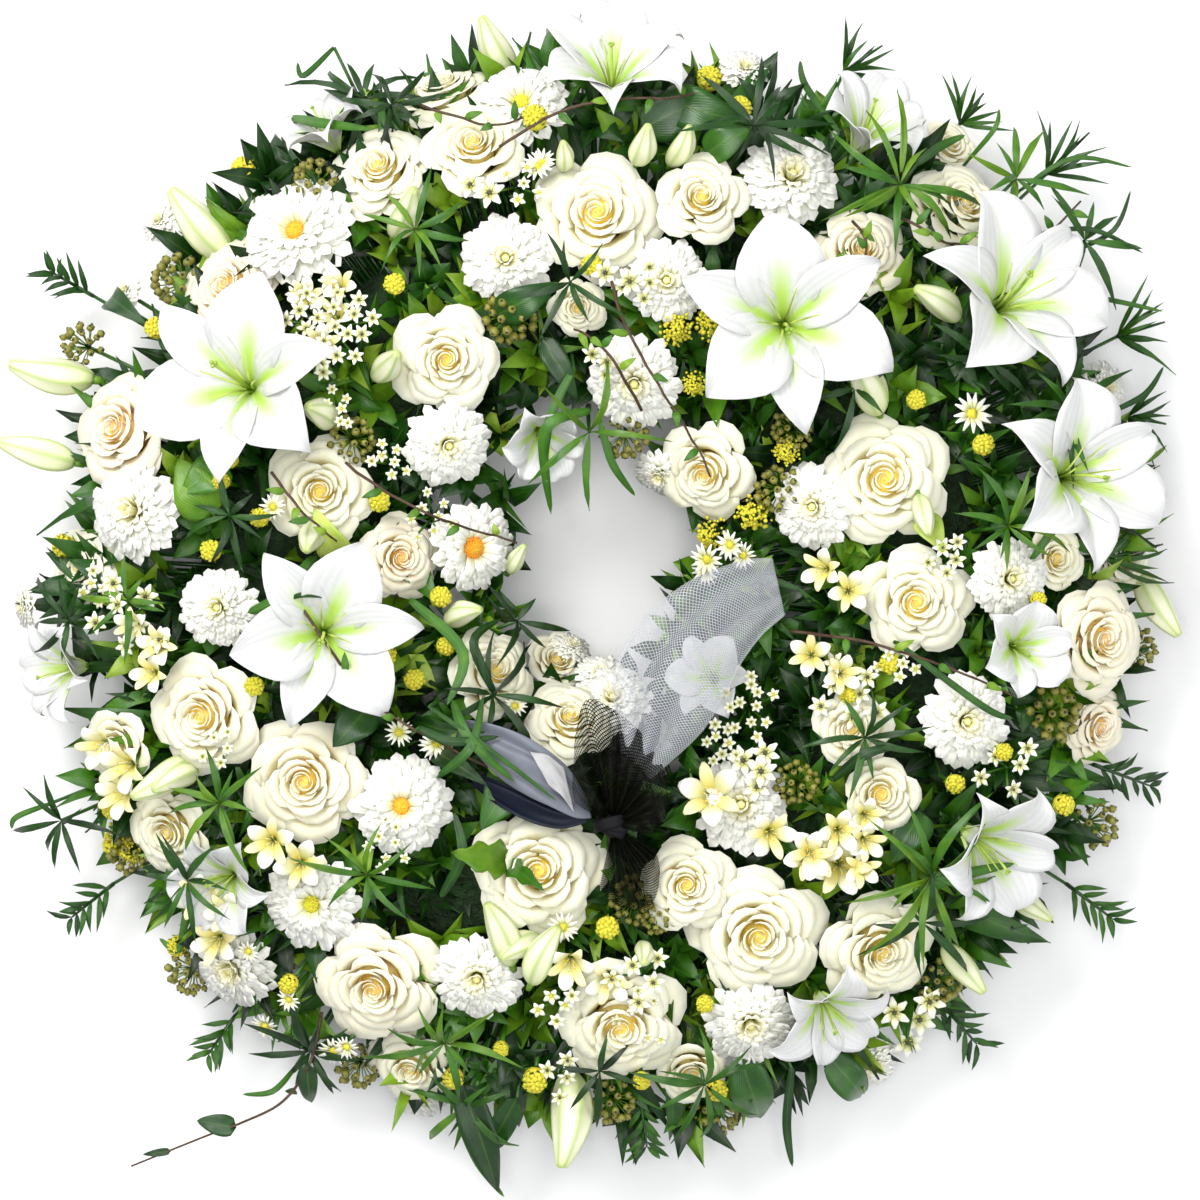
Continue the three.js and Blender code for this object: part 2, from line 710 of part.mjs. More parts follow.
/** A point in the bed's outer or inner side, which is flat between the corners of the foam. */
function bedSide(angle, radius) {
  const step = (2 * Math.PI) / FOAM.sides;
  const aside = (((angle % step) + step) % step) - step / 2;
  const reach = (radius * Math.cos(step / 2)) / Math.cos(aside);
  return point(Math.cos(angle) * reach, Math.sin(angle) * reach, BED.rootHeight);
}

/** Where a stalk over plan position x, y grows out of the bed. */
function bedFoot(x, y) {
  const { joint, end, side } = forkAt(x, y);
  const angle = Math.atan2(joint.y, joint.x);
  if (side > 0) return bedSide(angle, BED.rootOut);
  if (side < 0) return bedSide(angle, BED.rootIn);
  return joint.lerp(end, 0.24);
}

/** The stalk from the bed up to a point over plan position x, y. */
function onBed(x, y, centre) {
  const path = stemPath(centre, { end: bedFoot(x, y), forked: true });
  const top = centre.clone().sub(path[1]).normalize().multiplyScalar(2).add(centre);
  const held = stemThrough([top, ...path.slice(1)], STEM.radius);
  return { stalk: [loft(held.rows)], rooms: [held.room], centre };
}

/** A whorl of leaves at plan point x, y on a stalk that grows out of the bed. */
function whorl(x, y, count, length, { width = 20, lift = 2, spin = 0, droop = 0.16, lean } = {}) {
  const matrix = seat(x, y, { lift, lean });
  const reach = length * PLAN_UNIT;
  const centre = point(0, 0, 0).applyMatrix4(matrix);
  const blades = Array.from({ length: count }, (_, i) => {
    const angle = radians(spin + (i * 360) / count);
    const far = reach * (i % 2 ? 0.82 : 1);
    const tip = point(Math.cos(angle) * far, Math.sin(angle) * far, -droop * reach);
    return leaf(centre, tip.applyMatrix4(matrix), width * PLAN_UNIT);
  });
  return { ...onBed(x, y, centre), blades };
}

const WHORLS = [
  [370, 110, 5, 70, { lift: 0, spin: 20 }],
  [885, 205, 6, 84, { lift: 12, spin: 10 }],
  [1010, 190, 4, 66, { lift: 0 }],
  [1072, 250, 5, 70, { lift: -4, spin: 30 }],
  [1045, 400, 4, 60, { lift: -4, spin: 15 }],
  [985, 520, 5, 60, { lift: 6, spin: 50 }],
  [912, 866, 6, 78, { lift: 8, spin: 8 }],
  [492, 740, 4, 66, { lift: 0, spin: 40 }],
  [240, 792, 5, 62, { lift: 6, spin: 25 }],
  [75, 815, 5, 66, { lift: -8, spin: 0 }],
  [318, 1045, 5, 70, { lift: -6, spin: 10 }],
  [452, 1020, 4, 58, { lift: 0, spin: 35 }],
  [745, 140, 5, 70, { lift: 6, spin: 20 }],
  [688, 1066, 5, 62, { lift: -8, spin: 5 }],
  [92, 620, 4, 60, { lift: -6, spin: 45 }],
  [430, 250, 4, 60, { lift: 6, spin: 0 }],
  [575, 285, 4, 50, { lift: 4, spin: 30 }],
];

const UMBELS = [
  [515, 330, 52],
  [180, 280, 52],
  [84, 345, 44],
  [320, 188, 44],
  [1045, 712, 52],
  [622, 452, 40],
  [1095, 825, 48],
  [935, 978, 44],
  [612, 1095, 44],
  [716, 1115, 48],
  [190, 972, 44],
  [1135, 648, 40],
];

// Single leaves: the plan positions of root and tip, then the width and a lift at the tip.
const LEAVES = [
  [330, 520, 305, 600, 22, 12],
  [640, 150, 700, 122, 44, 4],
  [650, 120, 745, 150, 40, -6],
  [470, 1060, 503, 1168, 56, 0],
  [232, 520, 198, 468, 46, 2],
  [525, 800, 478, 850, 44, 12],
  [590, 420, 552, 512, 12, 12],
  [905, 520, 925, 548, 26, 6],
  [355, 560, 330, 520, 24, 6],
  [785, 1052, 788, 1156, 20, -4],
  [560, 60, 640, 22, 26, 6],
  [380, 60, 305, 66, 14, 0],
  [1090, 560, 1180, 540, 30, 0],
  [1080, 760, 1172, 790, 34, -8],
  [1060, 880, 1130, 930, 34, -8],
  [930, 990, 990, 1062, 34, -8],
  [100, 300, 34, 262, 30, -8],
  [120, 880, 60, 930, 32, -8],
  [840, 60, 900, 40, 26, -8],
  [1040, 160, 1100, 120, 28, -8],
  [1130, 330, 1182, 330, 28, -8],
  [640, 1090, 640, 1160, 30, -8],
  [240, 1010, 200, 1070, 30, -8],
];

/** One leaf from the bed at its root's plan position to its tip's. */
function looseLeaf([x, y, tipX, tipY, width, lift]) {
  const root = point(0, 0, 0).applyMatrix4(seat(x, y, { lift: -10 }));
  const tip = point(0, 0, 0).applyMatrix4(seat(tipX, tipY, { lift }));
  return { ...onBed(x, y, root), blades: [leaf(root, tip, width * PLAN_UNIT, 0.16, width > 32)] };
}

/** The low leaves round the outer side of one bed. */
function skirt(from, to) {
  const blades = [];
  for (const share of [0.26, 0.74]) {
    const angle = from + (to - from) * share;
    const polar = (radius, height, turn) => {
      const a = radians(angle + turn);
      return point(Math.cos(a) * radius, Math.sin(a) * radius, height);
    };
    const root = bedSide(radians(angle), BED.rootOut);
    blades.push(leaf(root, polar(300, 20, 3), 30, 0.14));
  }
  return { stalk: [], rooms: [], blades };
}

// The trailing stem at the lower left, with two heart-shaped leaves.
const TRAIL = [
  [330, 1000, 62],
  [316, 1052, 62],
  [290, 1092, 52],
  [215, 1126, 40],
  [138, 1158, 34],
];

function trail() {
  const path = TRAIL.map(([x, y, z]) => planPoint(x, y, z));
  const held = stemThrough([bedFoot(330, 1000), ...path], STEM.end);
  const blades = [
    leaf(path[2], planPoint(342, 1104, 50), 30, 0.1, true),
    leaf(path[3], planPoint(196, 1096, 48), 28, 0.1, true),
  ];
  return { stalk: [loft(held.rows)], rooms: [held.room], blades, centre: path[0] };
}

// The bow: a pleated fan of black net with its knot, a satin tail, and a band of pale net.
/** A strip of cloth: each section is a row of points, given a thickness downwards. */
function cloth(sections, thick) {
  return loft(
    sections.map((section) => {
      const under = section.map((p) => p.clone().setZ(p.z - thick)).reverse();
      return [...section, ...under];
    }),
  );
}

const raise = (section) => section.map((p) => p.clone().setZ(p.z + 1));

/** A pick: the thin rod that holds a piece of the bow, from a point over the plan to the foam. */
function pick(x, y, top) {
  const { joint, end } = forkAt(x, y);
  const path = [...stemPath(top, { end: joint, forked: true }), end];
  const held = stemThrough(path, STEM.end);
  return { solid: loft(held.rows), rooms: [held.room] };
}

function fan() {
  const pleats = 5;
  const row = ([cx, cy, z, dx, dy, fold]) =>
    Array.from({ length: pleats }, (_, i) => {
      const share = i / (pleats - 1) - 0.5;
      const up = i % 2 ? fold : 0;
      return planPoint(cx + dx * share * 2, cy + dy * share * 2, z + up);
    });
  const rising = [
    [618, 800, 134, 7, 3, 3],
    [622, 765, 146, 16, 5, 7],
    [627, 728, 158, 26, 8, 12],
    [632, 694, 164, 34, 12, 15],
  ].map(row);
  const tuft = [
    [612, 800, 133, 8, 2, 3],
    [606, 832, 134, 20, 3, 7],
    [604, 862, 126, 28, 4, 9],
  ].map(row);
  const knot = point(0, 0, 0).applyMatrix4(seat(612, 806, { lift: 8 }));
  const ball = loft([
    [knot.clone().setZ(knot.z - 8)],
    ring(6, 9, -4).map((p) => p.add(knot)),
    ring(6, 8, 3).map((p) => p.add(knot)),
    [knot.clone().setZ(knot.z + 8)],
  ]);
  const held = pick(612, 800, knot);
  return {
    solid: wasm.Manifold.union([cloth(rising, 1.2), cloth(tuft, 1.2), ball, held.solid]),
    rooms: [cloth(rising.map(raise), 3), cloth(tuft.map(raise), 3), ball, ...held.rooms],
  };
}

const TAIL = [
  [588, 786, 142, 3, 10],
  [570, 768, 148, 6, 24],
  [540, 752, 150, 4, 32],
  [505, 742, 144, 0, 36],
  [474, 742, 134, -2, 34],
];
const NET = [
  [636, 764, 152, 10, 4],
  [656, 738, 160, 20, 10],
  [676, 700, 166, 32, 16],
  [690, 655, 162, 36, 22],
  [710, 622, 154, 22, 32],
  [742, 598, 150, 10, 34],
  [768, 588, 142, 6, 28],
];

/** A band of cloth with a pick of its own under one of its stations. */
function ribbon(stations, at) {
  const sections = stations.map(([x, y, z, dx, dy]) => [
    planPoint(x - dx, y - dy, z),
    planPoint(x, y, z + 3),
    planPoint(x + dx, y + dy, z),
  ]);
  const [x, y, z] = stations[at];
  const held = pick(x, y, planPoint(x, y, z + 2.4));
  return {
    solid: cloth(sections, 1.1).add(held.solid),
    rooms: [cloth(sections.map(raise), 3), ...held.rooms],
  };
}

// The tray, the foam and the core of the beds.
function tray() {
  const [inside, outside] = [RING.inner, RING.outer];
  return turned([
    [inside - TRAY.wall, 0],
    [outside + TRAY.wall, 0],
    [outside + TRAY.wall, TRAY.height],
    [outside, TRAY.height],
    [outside, TRAY.wall],
    [inside, TRAY.wall],
    [inside, TRAY.height],
    [inside - TRAY.wall, TRAY.height],
  ]);
}

function foam() {
  const [inside, outside] = [FOAM.inside, FOAM.outside];
  const profile = [
    [inside, TRAY.wall + TRAY.gap],
    [outside, TRAY.wall + TRAY.gap],
    [outside, FOAM.top - FOAM.chamfer],
    [outside - FOAM.chamfer, FOAM.top],
    [inside + FOAM.chamfer, FOAM.top],
    [inside, FOAM.top - FOAM.chamfer],
  ];
  return turned(profile, FOAM.sides);
}

/** The core of the leaf beds: a shell over the foam's top and sides. */
function bedShell() {
  const [inside, outside, cut] = [FOAM.inside - 0.4, FOAM.outside + 0.4, FOAM.chamfer + 0.4];
  const under = FOAM.top + 0.7;
  const profile = [
    [outside, BED.foot],
    [outside + BED.side, BED.foot],
    [outside - cut + 4, BED.top],
    [inside + cut - 4, BED.top],
    [inside - BED.side, BED.foot],
    [inside, BED.foot],
    [inside, under - cut],
    [inside + cut, under],
    [outside - cut, under],
    [outside, under - cut],
  ];
  return turned(profile, FOAM.sides);
}

/** A wedge of space between two angles, in degrees, wider than the wreath. */
function wedge(from, to) {
  const middle = (from + to) / 2;
  const apex = BED.split / 2 / Math.sin(radians((to - from) / 2));
  const corners = (z) => {
    const polar = (angle, r) => {
      const [a, m] = [radians(angle), radians(middle)];
      const x = Math.cos(m) * apex + Math.cos(a) * r;
      const y = Math.sin(m) * apex + Math.sin(a) * r;
      return point(x, y, z);
    };
    return [polar(from, 0), polar(from, 420), polar(middle, 480), polar(to, 420)];
  };
  return loft([corners(-5), corners(320)]);
}

/** The number of the bed that a point belongs to, by its angle. */
function bedOf(p) {
  const angle = THREE.MathUtils.radToDeg(Math.atan2(p.y, p.x)) - BED.start;
  return Math.floor((((angle % 360) + 360) % 360) / (360 / BED.count)) + 1;
}

/** The parts of the leaf beds: a core and the leaves that grow from it. */
function bedParts() {
  const parts = [];
  const add = (node, label, { stalk, rooms, blades }) => {
    stalk.forEach((solid, i) => {
      const name = `${label} stalk`;
      parts.push({ node, rank: RANK.small, label: name, solid, rooms: [rooms[i]] });
    });
    for (const stations of blades) {
      const rooms = [blade(stations, GAP)];
      parts.push({ node, rank: RANK.leaf, label, solid: blade(stations), rooms });
    }
  };
  const growing = [...WHORLS.map((args) => whorl(...args)), ...LEAVES.map(looseLeaf), trail()];
  for (const [i, grown] of growing.entries()) {
    add(`leaves_${bedOf(grown.centre)}`, `leaf ${i}`, grown);
  }
  for (const [x, y, size] of UMBELS) {
    const stem = { end: bedFoot(x, y), forked: true };
    const made = knobbed(seat(x, y), size * PLAN_UNIT, {}, stem);
    const node = `leaves_${bedOf(planPoint(x, y, 0))}`;
    parts.push({ node, rank: RANK.small, label: `umbel ${x},${y}`, ...made });
  }
  const shell = bedShell();
  const step = 360 / BED.count;
  for (let i = 0; i < BED.count; i++) {
    const [from, to] = [BED.start + i * step, BED.start + (i + 1) * step];
    const node = `leaves_${i + 1}`;
    const core = shell.intersect(wedge(from, to));
    parts.push({ node, rank: RANK.core, label: "core", solid: core, rooms: [] });
    add(node, "skirt", skirt(from, to));
  }
  return parts;
}

// Assembly.
const near = (a, b) => {
  const [p, q] = [a.boundingBox(), b.boundingBox()];
  return [0, 1, 2].every((k) => p.min[k] < q.max[k] && q.min[k] < p.max[k]);
};

const largest = (solid) => solid.decompose().sort((a, b) => b.volume() - a.volume())[0];

/** Cuts each part clear of the parts of other nodes that were placed before it. */
function cutClear(parts) {
  const order = [...parts].sort((a, b) => a.rank - b.rank);
  for (const [i, part] of order.entries()) {
    part.whole = part.solid;
    for (const other of order.slice(0, i)) {
      if (other.node === part.node) continue;
      for (const room of other.rooms) {
        if (near(part.solid, room)) part.solid = part.solid.subtract(room);
      }
    }
  }
  return order;
}

const ordered = cutClear([
  { node: "bow_fan", rank: RANK.bow, label: "fan", ...fan() },
  { node: "bow_tail", rank: RANK.bow, label: "tail", ...ribbon(TAIL, 1) },
  { node: "bow_net", rank: RANK.bow, label: "net", ...ribbon(NET, 3) },
  ...Object.entries(SPRAYS).flatMap(([node, flowers]) => sprayParts(node, flowers)),
  ...bedParts(),
]);

/** The body of one node: its parts joined, without the scraps that were cut off it. */
function bodyOf(node) {
  const own = ordered.filter((part) => part.node === node).map((part) => part.solid);
  return largest(wasm.Manifold.union(own));
}

/** The foam with a plain hole for every stem. */
function piercedFoam() {
  let body = foam();
  for (const room of ordered.flatMap((part) => part.rooms)) {
    if (near(body, room)) body = body.subtract(room);
  }
  return largest(body);
}

const materials = Object.fromEntries(
  Object.entries(COLOURS).map(([name, color]) => [
    name,
    new THREE.MeshStandardMaterial({ color, roughness: 0.7, metalness: 0 }),
  ]),
);

function materialOf(node) {
  const family = node.split("_")[0];
  return materials[node] ?? materials[family] ?? materials.chrysanthemum;
}

function meshOf(name, solid) {
  const { vertProperties, triVerts, numProp } = solid.getMesh();
  const positions = new Float32Array((vertProperties.length / numProp) * 3);
  for (let i = 0; i < positions.length / 3; i++) {
    positions.set(vertProperties.subarray(i * numProp, i * numProp + 3), i * 3);
  }
  const geometry = new THREE.BufferGeometry();
  geometry.setAttribute("position", new THREE.BufferAttribute(positions, 3));
  geometry.setIndex([...triVerts]);
  const mesh = new THREE.Mesh(geometry, materialOf(name));
  mesh.name = name;
  return mesh;
}

const wreath = new THREE.Group();
wreath.name = "wreath";
wreath.add(meshOf("tray", tray()));
wreath.add(meshOf("foam", piercedFoam()));
for (const node of new Set(ordered.map((part) => part.node))) {
  wreath.add(meshOf(node, bodyOf(node)));
}

export default wreath;
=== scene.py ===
"""A funeral wreath lying face up: cream roses, white lilies and chrysanthemums, small flowers,
berries and leaves standing in a foam ring, with a bow of black and pale net and a satin tail.

Places are given on the plan: the wreath seen face on in a square of 1200 units, x to the right and
y down. Everything else is in metres, with the origin on the table under the middle of the ring.
"""

from __future__ import annotations

import json
import logging
import math
import random
from collections.abc import Callable, Sequence
from dataclasses import dataclass, field
from enum import Enum

import bmesh
import bpy
from mathutils import Matrix, Vector, noise

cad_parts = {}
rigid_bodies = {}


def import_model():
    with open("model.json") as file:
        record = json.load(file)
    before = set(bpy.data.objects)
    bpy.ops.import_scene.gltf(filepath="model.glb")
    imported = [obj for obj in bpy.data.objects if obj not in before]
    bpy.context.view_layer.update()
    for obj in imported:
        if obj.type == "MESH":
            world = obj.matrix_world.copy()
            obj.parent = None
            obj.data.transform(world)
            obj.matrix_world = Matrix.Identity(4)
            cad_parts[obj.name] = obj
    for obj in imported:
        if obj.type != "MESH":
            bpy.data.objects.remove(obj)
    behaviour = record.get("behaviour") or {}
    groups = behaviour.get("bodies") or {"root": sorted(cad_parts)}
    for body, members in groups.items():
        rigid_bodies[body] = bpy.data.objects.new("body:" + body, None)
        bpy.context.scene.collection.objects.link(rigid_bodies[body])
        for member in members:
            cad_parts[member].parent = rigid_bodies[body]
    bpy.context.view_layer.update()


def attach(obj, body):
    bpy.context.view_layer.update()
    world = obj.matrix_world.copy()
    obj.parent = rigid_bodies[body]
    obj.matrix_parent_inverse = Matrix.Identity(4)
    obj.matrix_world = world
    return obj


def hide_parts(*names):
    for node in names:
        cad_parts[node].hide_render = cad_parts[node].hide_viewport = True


log = logging.getLogger("wreath")

Place = Callable[[float, float], Vector]

# The plan and the domed face of the wreath

PLAN_UNIT = 0.00065
PLAN_MIDDLE = (600.0, 590.0)
MM = 0.001


@dataclass(frozen=True)
class Face:
    """The domed face on which the flowers sit, and the ring of foam under it."""

    middle: float = 0.196
    half_width: float = 0.148
    edge_height: float = 0.060
    rise: float = 0.070
    lean: float = 36.0
    ring_inner: float = 0.140
    ring_outer: float = 0.250
    inset: float = 0.020
    fork_height: float = 0.077
    side_height: float = 0.038
    side_reach: float = 0.022
    stem_end: float = 0.034

    def outwardness(self, x: float, y: float) -> float:
        """How far a plan point lies from the ring's middle line, -1 at the hole to 1 at the rim."""
        reach = plan_point(x, y, 0.0).length
        return max(-1.0, min(1.0, (reach - self.middle) / self.half_width))

    def height(self, x: float, y: float) -> float:
        """The height of the face over a plan point."""
        out = self.outwardness(x, y)
        return self.edge_height + self.rise * math.sqrt(1.0 - out * out)

    def seat(
        self,
        x: float,
        y: float,
        lift: float = 0.0,
        lean: float | None = None,
        toward: float | None = None,
        spin: float = 0.0,
    ) -> Matrix:
        """The place and the lean of a flower.

        Args:
            x, y: The plan position of the middle of its face.
            lift: How far it stands over the face, in millimetres.
            lean: Its tilt in degrees, by default the face's own.
            toward: The heading it tilts to in degrees, by default straight outward.
            spin: A turn about its own axis in degrees.

        Returns:
            The matrix from the flower's own frame.
        """
        at = plan_point(x, y, self.height(x, y) + lift * MM)
        heading = math.atan2(at.y, at.x) if toward is None else math.radians(toward)
        tilt = self.lean * self.outwardness(x, y) if lean is None else lean
        turn = Matrix.Rotation(heading, 4, "Z") @ Matrix.Rotation(math.radians(tilt), 4, "Y")
        return Matrix.Translation(at) @ turn @ Matrix.Rotation(math.radians(spin) - heading, 4, "Z")

    def fork(self, x: float, y: float) -> tuple[Vector, Vector]:
        """The fork under a plan position, and where its stalk ends in the foam."""
        flat = plan_point(x, y, 0.0)
        heading, reach = flat.normalized(), flat.length
        low, high = self.ring_inner + self.inset, self.ring_outer - self.inset
        if reach > self.ring_outer + 0.014:
            joint = heading * (self.ring_outer + self.side_reach)
            return lifted(joint, self.side_height), lifted(heading * high, self.stem_end)
        if reach < self.ring_inner - 0.006:
            joint = heading * (self.ring_inner - self.side_reach)
            return lifted(joint, self.side_height), lifted(heading * low, self.stem_end)
        held = heading * max(low, min(high, reach))
        return lifted(held, self.fork_height), lifted(held, self.stem_end)


def plan_point(x: float, y: float, z: float) -> Vector:
    """Where a plan position lies, in metres."""
    return Vector(((x - PLAN_MIDDLE[0]) * PLAN_UNIT, (PLAN_MIDDLE[1] - y) * PLAN_UNIT, z))


def hole_share(x: float, y: float) -> float:
    """How far a plan position lies from the middle of the hole; 1 at its edge."""
    return math.hypot((x - 599.0) / 77.0, (y - 543.0) / 118.0)


def lifted(point: Vector, z: float) -> Vector:
    """The same point at another height."""
    return Vector((point.x, point.y, z))


def blend(share: float, low: float, high: float) -> float:
    """A value between two others."""
    return low + (high - low) * share


def along(points: Sequence[Sequence[float]], share: float) -> list[float]:
    """The smooth curve through equally spaced points, at a share of its length."""
    last = len(points) - 1
    spot = max(0.0, min(float(last), share * last))
    i = min(int(spot), last - 1)
    t = spot - i
    before, start, end, after = (points[max(0, min(last, k))] for k in (i - 1, i, i + 1, i + 2))
    return [
        0.5 * (2 * b + (c - a) * t + (2 * a - 5 * b + 4 * c - d) * t * t + (3 * b - a - 3 * c + d) * t**3)
        for a, b, c, d in zip(before, start, end, after)
    ]


FACE = Face()

# What stands in the wreath


class Kind(Enum):
    """The kinds of flower, bud and berry head."""

    ROSE = "rose"
    MUM = "chrysanthemum"
    LILY = "lily"
    BUD = "lily bud"
    BUTTON = "yellow button"
    SPIKE = "goldenrod"
    STARS = "cluster of star florets"
    ASTER = "aster"
    UMBEL = "ivy berries"


@dataclass(frozen=True)
class Bloom:
    """One flower or head: its plan place and size, and how it stands."""

    kind: Kind
    x: float
    y: float
    size: float
    lift: float = 0.0
    lean: float | None = None
    toward: float | None = None
    spin: float = 0.0
    form: float = 0.0
    tone: float = 0.0
    across: float = 0.0
    tall: float = 1.0

    def seat(self) -> Matrix:
        """Its place on the face, scaled to its size."""
        made = FACE.seat(self.x, self.y, self.lift, self.lean, self.toward, self.spin)
        return made @ Matrix.Scale(self.size * PLAN_UNIT, 4)


def rose(x: float, y: float, size: float, **how: float) -> Bloom:
    """A rose; open runs from 0.7, still closed, to 1.1, full blown."""
    return Bloom(Kind.ROSE, x, y, size, form=how.pop("open", 1.0), **how)


def mum(x: float, y: float, size: float, **how: float) -> Bloom:
    """A chrysanthemum; a form of 1 shows an orange middle, and 2 a greenish one."""
    return Bloom(Kind.MUM, x, y, size, **how)


def lily(x: float, y: float, size: float, **how: float) -> Bloom:
    """A lily; cup runs from 0, wide open, to 0.6, a trumpet."""
    how.setdefault("lift", 24.0)
    return Bloom(Kind.LILY, x, y, size, form=how.pop("cup", 0.0), **how)


def bud(x: float, y: float, size: float, **how: float) -> Bloom:
    """A lily bud."""
    return Bloom(Kind.BUD, x, y, size, **how)


def button(x: float, y: float, size: float, **how: float) -> Bloom:
    """A small yellow flower that is still closed."""
    return Bloom(Kind.BUTTON, x, y, size, **how)


def spike(x: float, y: float, size: float, **how: float) -> Bloom:
    """A head of goldenrod."""
    return Bloom(Kind.SPIKE, x, y, size, **how)


def stars(x: float, y: float, across: float, count: int, size: float, **how: float) -> Bloom:
    """A cluster of star florets spread across a width."""
    how.setdefault("lift", 4.0)
    return Bloom(Kind.STARS, x, y, size, across=across, form=float(count), **how)


def aster(x: float, y: float, size: float, **how: float) -> Bloom:
    """A small aster."""
    return Bloom(Kind.ASTER, x, y, size, **how)


def umbel(x: float, y: float, size: float, **how: float) -> Bloom:
    """A head of ivy berries."""
    return Bloom(Kind.UMBEL, x, y, size, **how)


